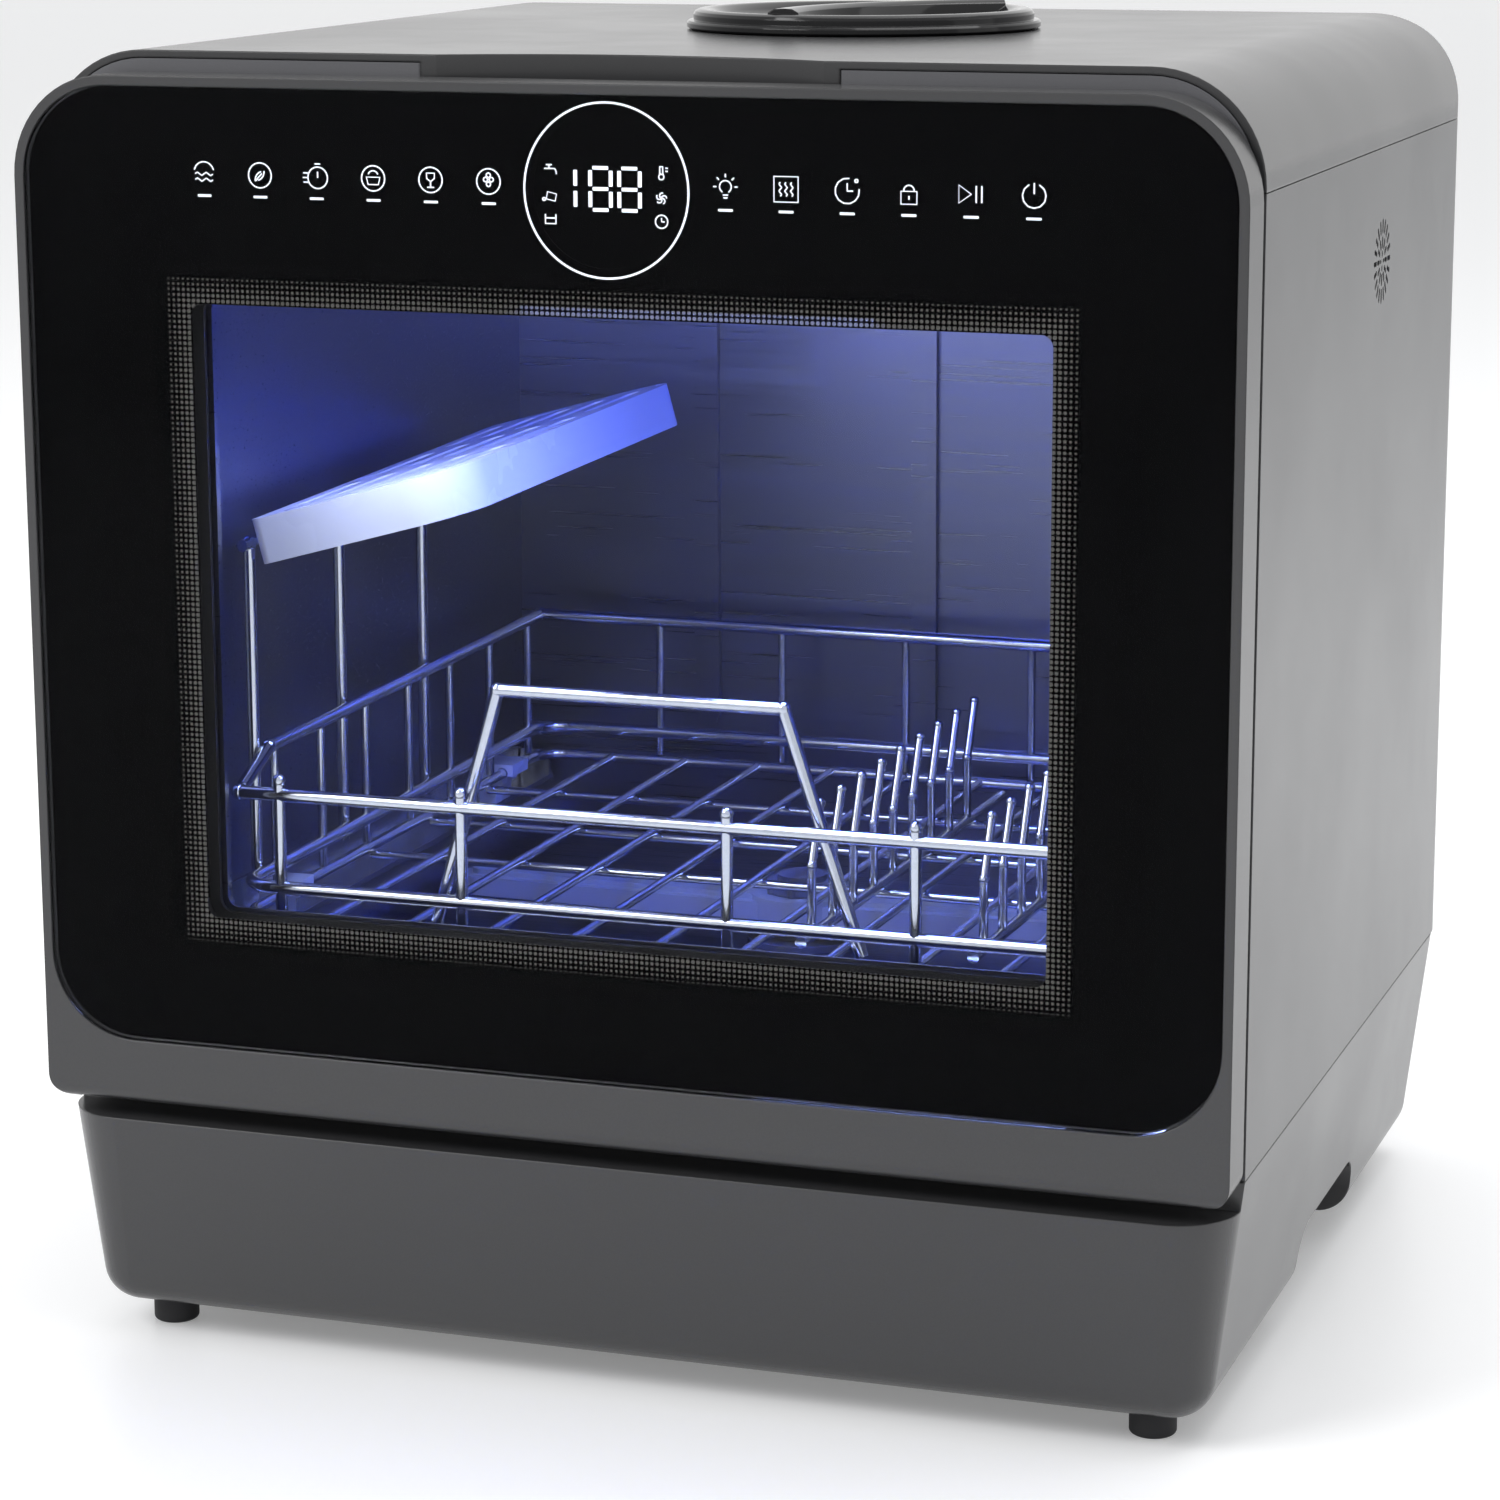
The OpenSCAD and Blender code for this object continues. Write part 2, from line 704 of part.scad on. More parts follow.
module spray_post() {
    z0 = tub_z0 - sheet - 14;
    color("#4a4b4e") translate([0, post_y, 0]) difference() {
        union() {
            translate([0, 0, z0]) cylinder(h = arm_z + arm_t - z0 + 1, r = post_r);
            translate([0, 0, z0]) cylinder(h = tub_z0 - z0 + 1, r = post_r + 3);
            translate([0, 0, tub_z0 + gap]) cylinder(h = 2.5, r = post_r + 12);
            translate([0, 0, tub_z0 + 2]) cylinder(h = arm_z - tub_z0 - 2 - gap, r = post_r + 4);
        }
        translate([0, 0, z0 - over]) cylinder(h = arm_z + arm_t - z0 - 2, r = post_r - 2.5);
        for (a = [0, 90]) rotate([0, 0, a])
            translate([-20, -2, arm_z + 1.5]) cube([40, 4, arm_t - 4]);
    }
}

module spray_nut() {
    z = arm_z + arm_t + gap;
    color("#4a4b4e") translate([0, post_y, z]) difference() {
        union() {
            cylinder(h = 4.2, r = post_r + 5);
            for (i = [0:7]) rotate([0, 0, i * 45])
                translate([post_r + 4.5, 0, 0]) cylinder(h = 4.2, r = 1.6);
            translate([0, 0, 4]) cylinder(h = 2.4, r = post_r + 1);
        }
        translate([0, 0, -over]) cylinder(h = 2 + over, r = post_r + gap);
    }
}

module spray_arm() {
    tip = 9;
    color("#b9bcc0") translate([0, post_y, arm_z]) difference() {
        union() {
            for (s = [0, 180]) rotate([0, 0, s]) {
                linear_extrude(arm_t - 2) {
                    polygon([[0, -arm_w / 2], [arm_r - tip, -tip], [arm_r - tip, tip], [0, arm_w / 2]]);
                    translate([arm_r - tip, 0]) circle(tip);
                }
                translate([0, 0, arm_t - 3]) linear_extrude(3) {
                    polygon([[0, -arm_w / 2 + 4], [arm_r - tip, -tip + 4], [arm_r - tip, tip - 4],
                        [0, arm_w / 2 - 4]]);
                    translate([arm_r - tip, 0]) circle(tip - 4);
                }
            }
            cylinder(h = arm_t, r = arm_w / 2 + 4);
        }
        translate([0, 0, -over]) cylinder(h = arm_t + 2 * over, r = post_r + run_gap);
        for (s = [0, 180], i = [1:nozzles]) rotate([0, 0, s])
            translate([32 + i * (arm_r - 48) / nozzles, 0, arm_t - 4])
                rotate([i * 7, 0, 0]) linear_extrude(8) rounded(5, 2.2, 1);
    }
}

// ---------- works in the base ----------

module wash_pump() {
    color("#55575b") translate([pump_x, pump_y, pump_z]) {
        rotate([-90, 0, 0]) {
            cylinder(h = 20, r = 30);
            translate([0, 0, 18]) cylinder(h = 62, r = 24);
            for (i = [0:4]) translate([0, 0, 30 + i * 9]) cylinder(h = 3, r = 25.5);
        }
        rotate([90, 0, 0]) cylinder(h = 14, r = 11);
        translate([-26, 4, 20]) cylinder(h = 22, r = 7);
        for (y = [8, 62])
            translate([-22, y, floor_z + gap - pump_z]) cube([44, 10, pump_z - floor_z - 8]);
    }
}

module drain_pump() {
    color("#6a6c70") translate([pump_x - 102, 96, 44]) {
        rotate([0, 90, 0]) {
            cylinder(h = 16, r = 22);
            translate([0, 0, 14]) cylinder(h = 40, r = 17);
        }
        translate([6, 0, -44 + floor_z + gap]) cube([8, 8, 30]);
        translate([42, -4, -44 + floor_z + gap]) cube([8, 8, 18]);
        translate([8, 0, 10]) rotate([-90, 0, 0]) cylinder(h = 30, r = 7);
    }
}

module flow_heater() {
    color("#b8babd") translate([pump_x - 100, -10, 48]) {
        rotate([-90, 0, 0]) cylinder(h = 78, r = 15);
        for (y = [-3, 70]) translate([0, y, 0]) rotate([-90, 0, 0]) cylinder(h = 10, r = 17.5);
        for (y = [0, 72]) translate([-4, y, -48 + floor_z + gap]) cube([8, 4, 30]);
    }
}

module water_tank() {
    x0 = -body_w / 2 + grip_deep + base_wall + 4;
    y = body_d / 2 - 44;
    color("#cfd3d6") difference() {
        union() {
            box(x0, tank_x1, -y, y, floor_z + gap, tank_z1);
            for (i = [-2:2]) box(x0 + 8, tank_x1 - 8, i * 50 - 8, i * 50 + 8, tank_z1 - over, tank_z1 + 1.4);
            translate([tank_x1 - over, -60, 34]) rotate([0, 90, 0]) cylinder(h = 14, r = 8);
        }
        box(x0 + 2.5, tank_x1 - 2.5, -y + 2.5, y - 2.5, floor_z + gap + 2.5, tank_z1 - 2.5);
        translate([tank_x1 - 5, -60, 34]) rotate([0, 90, 0]) cylinder(h = 30, r = 6);
        box(x0 + 6, x0 + 24, fill_y - 10, fill_y + 10, tank_z1 - 10, tank_z1 + 10);
    }
}

// From the lid's bowl across the tub's roof and down its left side to the tank.
module fill_funnel() {
    x0 = -body_w / 2 + grip_deep + base_wall + 4;
    side0 = -body_w / 2 + wall + 5;
    side1 = -tub_w / 2 - sheet - 5;
    roof = tub_z1 + sheet + gap;
    bowl_z = body_h - wall - gap - 3;
    z_top = roof + 13;
    color("#cfd3d6") difference() {
        union() {
            translate([lid_x, lid_y, roof]) cylinder(h = bowl_z - roof, r = lid_seat_r + gap + 2);
            box(-body_w / 2 + 26, lid_x, fill_y - 15, fill_y + 15, roof, z_top);
            box(side0, side1, fill_y - 15, fill_y + 15, tank_z1 + 14, roof + 2);
            box(side0, x0 + 26, fill_y - 13, fill_y + 13, tank_z1 + 2, tank_z1 + 16);
            box(x0 + 7, x0 + 23, fill_y - 9, fill_y + 9, tank_z1 - 4, tank_z1 + 3);
        }
        translate([lid_x, lid_y, roof + 2]) cylinder(h = bowl_z, r = lid_seat_r + gap);
        box(-body_w / 2 + 28, lid_x, fill_y - 13, fill_y + 13, roof + 2, z_top - 2);
        box(side0 + 2, side1 - 2, fill_y - 13, fill_y + 13, tank_z1 + 16, roof);
        box(-body_w / 2 + 28, side1 - 2, fill_y - 13, fill_y + 13, roof - over, roof + 4);
        box(side0 + 2, x0 + 24, fill_y - 11, fill_y + 11, tank_z1 + 4, tank_z1 + 14);
        box(side0 + 2, side1 - 2, fill_y - 11, fill_y + 11, tank_z1 + 12, tank_z1 + 20);
        box(x0 + 9, x0 + 21, fill_y - 7, fill_y + 7, tank_z1 - 5, tank_z1 + 8);
    }
}

module lid_seat() {
    r = lid_seat_r;
    color("#2b2c2f") translate([lid_x, lid_y, 0]) rotate_extrude($fn = 96) polygon([
        [r - 6, body_h - 14],
        [r, body_h - 14],
        [r, body_h + gap],
        [r + 4, body_h + gap],
        [r + 4, body_h + 2],
        [r - 3, body_h + 2],
        [r - 3, body_h - 11],
        [r - 6, body_h - 11],
    ]);
}

module fill_lid() {
    z = body_h + 2 + gap;
    color("#1d1e20") translate([lid_x, lid_y, z]) {
        difference() {
            rotate_extrude($fn = 96) polygon([
                [0, -6],
                [lid_seat_r - 7, -6],
                [lid_seat_r - 7, 0],
                [lid_r, 0],
                [lid_r, 2.2],
                [lid_r - 2.5, 3],
                [lid_r - 2.5, lid_h - 4],
                [lid_r - 4, lid_h - 2.5],
                [lid_r - 9, lid_h - 2],
                [lid_r - 16, lid_h - 6],
                [0, lid_h - 8],
            ]);
            translate([0, 0, -over - 6]) cylinder(h = over + 3, r = lid_seat_r - 10);
        }
        translate([0, 0, gap]) rotate([0, 0, 60]) intersection() {
            translate([0, -98, 0]) difference() {
                cylinder(h = lid_h - 2 - gap, r = 104, $fn = 160);
                translate([0, 0, -over]) cylinder(h = lid_h + over, r = 91, $fn = 160);
            }
            cylinder(h = lid_h, r = lid_r - 8);
        }
    }
}

module lid_seal() {
    z = body_h - 3;
    color("#1c1c1e") translate([lid_x, lid_y, z]) difference() {
        cylinder(h = 2.4, r = lid_seat_r - 3 - gap, $fn = 96);
        translate([0, 0, -over]) cylinder(h = 5, r = lid_seat_r - 7 + gap, $fn = 96);
    }
}

// ---------- drying, power and light ----------

module drying_fan() {
    x0 = tub_w / 2 + sheet + 10;
    x1 = body_w / 2 - wall - gap;
    color("#2b2c2f") difference() {
        union() {
            translate([x0, grille_y, grille_z]) rotate([0, 90, 0]) cylinder(h = x1 - x0, r = 27);
            box(x0, x1, grille_y - 27, grille_y + 27, grille_z - 27, grille_z);
        }
        translate([x0 + 2, grille_y, grille_z]) rotate([0, 90, 0]) cylinder(h = 60, r = 21);
        translate([x0 - over, grille_y, grille_z]) rotate([0, 90, 0]) cylinder(h = 10, r = 10);
    }
    color("#2b2c2f") translate([x0 + 2, grille_y, grille_z]) rotate([0, 90, 0]) {
        for (i = [0:11]) rotate([0, 0, i * 30]) translate([11, -0.7, 2]) cube([9, 1.4, x1 - x0 - 8]);
        difference() {
            cylinder(h = 2.5, r = 20.2);
            translate([0, 0, -over]) cylinder(h = 5, r = 10);
        }
    }
}

module fan_duct() {
    x0 = tub_w / 2 + sheet + gap;
    color("#55575b") translate([x0, grille_y, grille_z]) rotate([0, 90, 0]) difference() {
        union() {
            cylinder(h = 9.4, r = 14);
            cylinder(h = 2, r = 20);
        }
        translate([0, 0, -over]) cylinder(h = 20, r = 11);
    }
}

module power_board() {
    x0 = tub_w / 2 + sheet + gap;
    color("#1f5a3a") {
        box(x0 + 7, x0 + 8.6, -120, -20, 160, 300);
        for (y = [-112, -28], z = [168, 292])
            translate([x0, y, z]) rotate([0, 90, 0]) cylinder(h = 7.5, r = 3);
    }
    color("#3a3b3e") {
        box(x0 + 8.5, x0 + 24, -110, -84, 250, 290);
        box(x0 + 8.5, x0 + 20, -70, -34, 180, 216);
        for (z = [180, 202, 224]) translate([x0 + 8.5, -98, z]) rotate([0, 90, 0]) cylinder(h = 16, r = 7);
        box(x0 + 8.5, x0 + 16, -74, -30, 240, 286);
    }
}

module lamp_housing() {
    color("#2b2c2f") translate([0, lamp_y, tub_z1 + sheet + gap]) difference() {
        union() {
            cylinder(h = 14, r = 17);
            cylinder(h = 2, r = 22);
        }
        translate([0, 0, -over]) cylinder(h = 10, r = 13 + gap);
    }
}

module lamp_lens() {
    color("#3f62ff") translate([0, lamp_y, tub_z1 - 2]) {
        cylinder(h = 10, r = 13);
        translate([0, 0, -1]) cylinder(h = 2, r = 11);
    }
}

// ---------- connectors at the back ----------

// The barrel for the tap hose's nut: a flange inside, a neck in the wall and a collar outside.
module inlet_connector() {
    color("#e4e6e8") translate([inlet_x, back - 15, connector_z]) rotate([-90, 0, 0]) difference() {
        union() {
            cylinder(h = 3, r = inlet_r + 4);
            cylinder(h = 20, r = inlet_r - neck_less);
            translate([0, 0, 13]) cylinder(h = 3, r = inlet_r + 4);
            translate([0, 0, 17]) cylinder(h = spout_end - 2, r = inlet_r);
        }
        translate([0, 0, 6]) cylinder(h = 30, r = inlet_r - 3);
    }
}

// The spout for the drain hose, built the same way, with a tapered tip.
module drain_spigot() {
    color("#2b2c2f") translate([drain_x, back - 15, connector_z]) rotate([-90, 0, 0]) difference() {
        union() {
            cylinder(h = 3, r = drain_r + 4);
            cylinder(h = 20, r = drain_r - neck_less);
            translate([0, 0, 13]) cylinder(h = 3, r = drain_r + 4);
            translate([0, 0, 17]) cylinder(h = spout_end - 4, r = drain_r);
            translate([0, 0, spout_end + 13]) cylinder(h = 2, r1 = drain_r, r2 = drain_r - 1.5);
        }
        translate([0, 0, -over]) cylinder(h = 40, r = drain_r - 3.5);
    }
}

module cord_gland() {
    color("#1c1c1e") translate([gland_x, back - 14, connector_z]) rotate([-90, 0, 0]) difference() {
        union() {
            cylinder(h = 18, r = gland_r);
            cylinder(h = 4, r = gland_r + 4);
            translate([0, 0, 14]) cylinder(h = 3, r = gland_r + 3);
        }
        translate([0, 0, -over]) cylinder(h = 30, r = 3.6);
    }
}

// A quarter bend of hose.
module hose_bend(r, d) {
    rotate_extrude(angle = 90) translate([r, 0]) circle(d = d);
}

// The hose from the wash pump to the sump's outlet, bent twice in one slanted plane.
module inner_hoses() {
    d = 12;
    bend = 16;
    pump_end = [pump_x, pump_y - 14 - gap, pump_z];
    sump_end = [filter_x, filter_y + cup_r + 20 + gap, 66];
    aside = norm([sump_end.x - pump_end.x, sump_end.z - pump_end.z]);
    slant = atan2(sump_end.z - pump_end.z, sump_end.x - pump_end.x);
    run = (pump_end.y - sump_end.y - 2 * bend) / 2;
    color("#77797c") translate(pump_end) rotate([0, -slant, 0]) {
        rotate([90, 0, 0]) cylinder(h = run, d = d);
        translate([bend, -run, 0]) rotate([0, 0, 180]) hose_bend(bend, d);
        translate([bend, -run - bend, 0]) rotate([0, 90, 0]) cylinder(h = aside - 2 * bend, d = d);
        translate([aside - bend, -run - 2 * bend, 0]) hose_bend(bend, d);
        translate([aside, -run - 2 * bend, 0]) rotate([90, 0, 0]) cylinder(h = run, d = d);
    }
}

// ---------- hinges ----------

module hinge_brackets() {
    color("#9a9da1") for (s = [-1, 1]) mirror([s < 0 ? 1 : 0, 0, 0]) difference() {
        union() {
            sideways(hinge_x - 2.5, hinge_x + 2.5) {
                translate([hinge_y, hinge_z]) circle(6);
                translate([hinge_y, hinge_z - 6]) square([case_front - gap - hinge_y, 12]);
            }
            box(hinge_x - 12, hinge_x + 2.5, case_front - gap - 1.4, case_front - gap,
                hinge_z - 5.5, hinge_z + 8);
        }
        translate([hinge_x - 20, hinge_y, hinge_z]) rotate([0, 90, 0]) cylinder(h = 40, r = pin_r + 0.02);
    }
}

module hinge_pins() {
    color("#d5d7da") for (s = [-1, 1]) mirror([s < 0 ? 1 : 0, 0, 0])
        translate([hinge_x - 8.5, hinge_y, hinge_z]) rotate([0, 90, 0]) cylinder(h = 17, r = pin_r);
}

module hinge_leaves() {
    color("#9a9da1") for (s = [-1, 1]) mirror([s < 0 ? 1 : 0, 0, 0])
        for (x = [hinge_x - 7, hinge_x + 4]) difference() {
            sideways(x, x + 3) {
                translate([hinge_y, hinge_z]) circle(5.8);
                translate([hinge_y - 1.5, hinge_z]) square([7.3, 44]);
            }
            translate([x - over, hinge_y, hinge_z]) rotate([0, 90, 0]) cylinder(h = 10, r = pin_r + run_gap);
            translate([x - over, hinge_y, hinge_z + 34]) rotate([0, 90, 0]) cylinder(h = 10, r = 1.6);
        }
}

// ---------- door ----------

// Outline of the door, drawn in by a margin.
module door_outline(inset) {
    upright_outline(body_w - 2 * inset, door_z0 + inset, door_z1 - inset, door_r - inset,
        max(1, door_low_r - inset));
}

// Outline of the glass, drawn out by a margin.
module glass_outline(out) {
    upright_outline(body_w - 2 * bezel + 2 * out, glass_z0 - out, door_z1 - bezel + out,
        door_r - bezel + out, glass_low_r + out);
}

// Outline of the window, drawn out by a margin.
module window_outline(out) {
    upright_outline(win_w + 2 * out, win_z - out, win_z + win_h + out, 4 + out, 4 + out);
}

// The door's side section with its rounded lower edges.
module door_side(x0, x1) {
    r1 = 6;
    r2 = 10;
    sideways(x0, x1) {
        translate([front, door_z0 + r1]) square([r1 + over, door_z1 - door_z0 - r1]);
        translate([front + r1, door_z0]) square([door_t - r1 - r2, door_z1 - door_z0]);
        translate([door_back - r2 - over, door_z0 + r2]) square([r2 + over, door_z1 - door_z0 - r2]);
        translate([front + r1, door_z0 + r1]) circle(r1);
        translate([door_back - r2, door_z0 + r2]) circle(r2);
    }
}

module door_frame() {
    hw = body_w / 2;
    color("#5a5b5e") difference() {
        intersection() {
            facing(front, liner_y - gap) door_outline(0);
            door_side(-hw, hw);
        }
        facing(front - over, tray_front) glass_outline(gap);
        facing(tray_front + tray_t, door_back + over) difference() {
            upright_outline(body_w - 2 * door_wall, door_z0 + 24, door_z1 - door_wall,
                door_r - door_wall, 8);
            window_outline(window_lap + 2.5);
        }
        facing(front, door_back) window_outline(window_lap);
        for (s = [-1, 1]) mirror([s < 0 ? 1 : 0, 0, 0]) {
            box(hinge_x - 14, hinge_x + 10, front + 2.9, door_back + over, door_z0 - over, pocket_z);
            for (x = [hinge_x - 7.5, hinge_x + 3.5])
                box(x, x + 4, hinge_y - 1.8, door_back + over, hinge_z, hinge_z + 46);
        }
        facing(front, door_back) translate([0, ring_z]) circle(ring_r - 1);
    }
}

module door_glass() {
    color("#0b0b0d") facing(glass_front, glass_back) glass_outline(0);
}

module glass_print() {
    y0 = glass_back + ink_t;
    color("#08080a") facing(y0, y0 + ink_t) difference() {
        glass_outline(-0.5);
        window_outline(0);
        translate([0, ring_z]) circle(ring_r - 3);
    }
}

// A straight mark with round ends.
module dash(x0, z0, x1, z1, t) {
    v = [x1 - x0, z1 - z0];
    translate([x0, z0]) rotate(atan2(v.y, v.x)) {
        translate([0, -t / 2]) square([norm(v), t]);
        circle(t / 2, $fn = 16);
        translate([norm(v), 0]) circle(t / 2, $fn = 16);
    }
}

// A ring mark.
module hoop(r, t) {
    difference() {
        circle(r);
        circle(r - t);
    }
}

mark_t = 0.55;

// The twelve key symbols, each drawn round its own middle.
module key_symbol(i) {
    r = key_size / 2;
    if (i == 0) for (z = [-1.8, 0, 1.8]) dash(-r + 0.6, z, r - 0.6, z, mark_t);
    if (i == 1) {
        hoop(r, mark_t);
        dash(-1.6, -1.6, 1.6, 1.6, mark_t);
    }
    if (i == 2) {
        hoop(r - 0.6, mark_t);
        dash(0, 0, 0, 2.2, mark_t);
        dash(-r - 0.8, 1.6, -r + 0.6, 1.6, mark_t);
        dash(-1, r, 1, r, mark_t);
    }
    if (i == 3) {
        hoop(r, mark_t);
        dash(-2.4, -0.4, 2.4, -0.4, 2.2);
    }
    if (i == 4) {
        hoop(r, mark_t);
        dash(0, -2.2, 0, 0.2, mark_t);
        dash(-1.2, -2.3, 1.2, -2.3, mark_t);
        translate([0, 1.1]) hoop(1.5, mark_t);
    }
    if (i == 5) {
        hoop(r, mark_t);
        for (p = [[-1.2, 1], [1.2, 1], [0, -0.2], [0, -2]]) translate(p) circle(0.85);
    }
    if (i == 6) {
        hoop(2.1, mark_t);
        dash(-0.9, -2.8, 0.9, -2.8, mark_t);
        for (a = [0:45:180]) rotate(a) dash(2.9, 0, 4.1, 0, mark_t);
    }
    if (i == 7) {
        difference() {
            rounded(key_size, key_size, 1.6);
            rounded(key_size - 2 * mark_t, key_size - 2 * mark_t, 1.2);
        }
        for (x = [-1.9, 0, 1.9]) dash(x, -2, x, 2, mark_t);
    }
    if (i == 8) {
        difference() {
            circle(r);
            circle(r - mark_t);
            translate([1.4, 1.4]) square(r);
        }
        dash(0, 0, 0, 2.2, mark_t);
        dash(0, 0, 1.6, 0, mark_t);
    }
    if (i == 9) {
        translate([0, -1.4]) difference() {
            rounded(6, 5, 0.8);
            rounded(5, 4, 0.4);
        }
        translate([0, 1]) difference() {
            hoop(2.1, mark_t);
            translate([-3, -3]) square([6, 3]);
        }
        dash(0, -2, 0, -0.8, mark_t);
    }
    if (i == 10) {
        difference() {
            polygon([[-r, -2.7], [-r, 2.7], [0.2, 0]]);
            polygon([[-r + 0.6, -1.7], [-r + 0.6, 1.7], [-0.8, 0]]);
        }
        for (x = [1.7, 3.6]) dash(x, -2.3, x, 2.3, 0.8);
    }
    if (i == 11) {
        difference() {
            circle(r - 0.4);
            circle(r - 0.4 - mark_t);
            translate([-1.1, 1.5]) square([2.2, r]);
        }
        dash(0, 0.4, 0, r - 0.2, mark_t);
    }
}

module key_symbols() {
    color("#f2f5f8") facing(glass_back, glass_back + ink_t) {
        translate([0, ring_z]) hoop(ring_r, 0.7);
        for (i = [0:5], s = [-1, 1]) {
            n = s < 0 ? 5 - i : 6 + i;
            translate([s * (key_first + i * key_step), key_z]) {
                key_symbol(n);
                translate([0, -key_size / 2 - 2.6]) square([4.5, 0.9], center = true);
            }
        }
    }
}

// The lit digits 1 8 8 and the ring marks on both sides of them.
module digit_segments() {
    color("#f7fbff") facing(display_y, display_y + ink_t) translate([0, ring_z]) {
        translate([-14.2, 0.5]) digit_one();
        for (x = [-2.1, 7.8]) translate([x, 0.5]) digit_eight();
        for (x = [-19.1, 18.6], z = [-9.4, -2, 6]) translate([x, z]) hoop(2.2, mark_t);
    }
}

module digit_one() {
    t = 1.25;
    w = digit_w / 2;
    h = digit_h / 2;
    g = 0.9;
    dash(w, g, w, h - g, t);
    dash(w, -g, w, -h + g, t);
}

module digit_eight() {
    t = 1.25;
    w = digit_w / 2;
    h = digit_h / 2;
    g = 0.9;
    for (z = [-h, 0, h]) dash(-w + g, z, w - g, z, t);
    for (x = [-w, w], s = [-1, 1]) dash(x, s * g, x, s * (h - g), t);
}

module display_body() {
    color("#0d0d10") translate([0, display_y + ink_t, ring_z]) rotate([-90, 0, 0]) {
        cylinder(h = 6, r = ring_r - 1.4);
        translate([-30, -13, 6]) cube([60, 26, 2]);
    }
}

module control_board() {
    y = tray_front + tray_t + gap;
    key_h = 6.6;
    half = key_first + 5 * key_step + 12;
    color("#1f5a3a") {
        facing(y + key_h, y + key_h + 1.6) translate([0, key_z]) rounded(2 * half, 34, 3);
        for (i = [0:5], s = [-1, 1]) translate([s * (key_first + i * key_step), y, key_z])
            rotate([-90, 0, 0]) cylinder(h = key_h + 0.4, r = 5);
    }
}

module door_liner() {
    margin = 7;
    color("#c9ccd0") difference() {
        union() {
            facing(liner_y, door_back) upright_outline(body_w - 2 * margin, door_z0 + 17, door_z1 - margin,
                door_r - margin, 10);
            facing(door_back - 0.5, door_back + 2.2) difference() {
                upright_outline(mouth_w - 30, mouth_z0 + 15, mouth_z1 - 15, 16, 16);
                upright_outline(mouth_w - 34, mouth_z0 + 17, mouth_z1 - 17, 14, 14);
            }
        }
        facing(front, door_back + 4) window_outline(0);
        facing(front, door_back + 4) translate([lock_x, lock_z]) square([20, 2.4], center = true);
        liner_screw_places() cylinder(h = 8, r = 1.7, center = true);
        for (s = [-1, 1]) mirror([s < 0 ? 1 : 0, 0, 0])
            box(hinge_x - 14, hinge_x + 10, front, door_back + over, door_z0, pocket_z);
    }
}

// Puts its child at each screw that holds the liner.
module liner_screw_places() {
    x = body_w / 2 - 14;
    heights = [door_z0 + 62, (door_z0 + door_z1) / 2 + 5, door_z1 - 52];
    for (s = [-1, 1], z = heights)
        translate([s * x, door_back, z]) rotate([-90, 0, 0]) children();
}

module liner_screws() {
    color("#b8babd") liner_screw_places() {
        translate([0, 0, gap]) cylinder(h = 1.1, r = 3);
        translate([0, 0, -1.4]) cylinder(h = 2, r = 1.3);
    }
}

module inner_glass() {
    y1 = liner_y - gap;
    color("#aebfd0") facing(y1 - inner_glass_t, y1) window_outline(inner_lap - 6);
}

module window_seal() {
    y1 = liner_y - gap;
    color("#1c1c1e") facing(y1 - inner_glass_t - 2, y1 - inner_glass_t - gap) difference() {
        window_outline(window_lap - 0.4);
        window_outline(0.6);
    }
}

module catch_tongue() {
    t = 1.4;
    y0 = liner_y - gap - t;
    color("#9a9da1") {
        facing(y0, frame_back + 10) translate([lock_x, lock_z]) square([12, 1.8], center = true);
        facing(y0, y0 + t) translate([lock_x, lock_z]) square([30, 12], center = true);
    }
}

// ---------- rack ----------

// A closed frame of wire at one height with bent corners.
module wire_loop(z, d) {
    half_d = rack_d / 2;
    translate([0, rack_y + half_d, z]) for (a = [0, 180]) rotate([0, 0, a]) {
        translate([rack_x, half_d - bend_r, 0]) rotate([90, 0, 0])
            cylinder(h = rack_d - 2 * bend_r, d = d, $fn = 24);
        translate([rack_x - bend_r, half_d, 0]) rotate([0, -90, 0])
            cylinder(h = 2 * (rack_x - bend_r), d = d, $fn = 24);
        translate([rack_x - bend_r, half_d - bend_r, 0]) wire_bend(d);
        translate([rack_x - bend_r, bend_r - half_d, 0]) rotate([0, 0, -90]) wire_bend(d);
    }
}

// A quarter bend of wire.
module wire_bend(d) {
    rotate_extrude(angle = 90, $fn = 48) translate([bend_r, 0]) circle(d = d, $fn = 24);
}

// The rack's floor: a bent loop, long wires in its plane and cross wires under them.
module rack_floor() {
    color("#cfd3d8") {
        wire_loop(rack_z0, loop_d);
        for (i = [1:long_wires]) bar([i * long_step - rack_x, rack_y, rack_z0],
            [i * long_step - rack_x, rack_back, rack_z0], wire_d);
        for (i = [1:cross_wires]) bar([-rack_x, rack_y + i * cross_step, cross_z],
            [rack_x, rack_y + i * cross_step, cross_z], wire_d);
        bar([-rack_x, arch_y, cross_z], [rack_x, arch_y, cross_z], loop_d);
    }
}

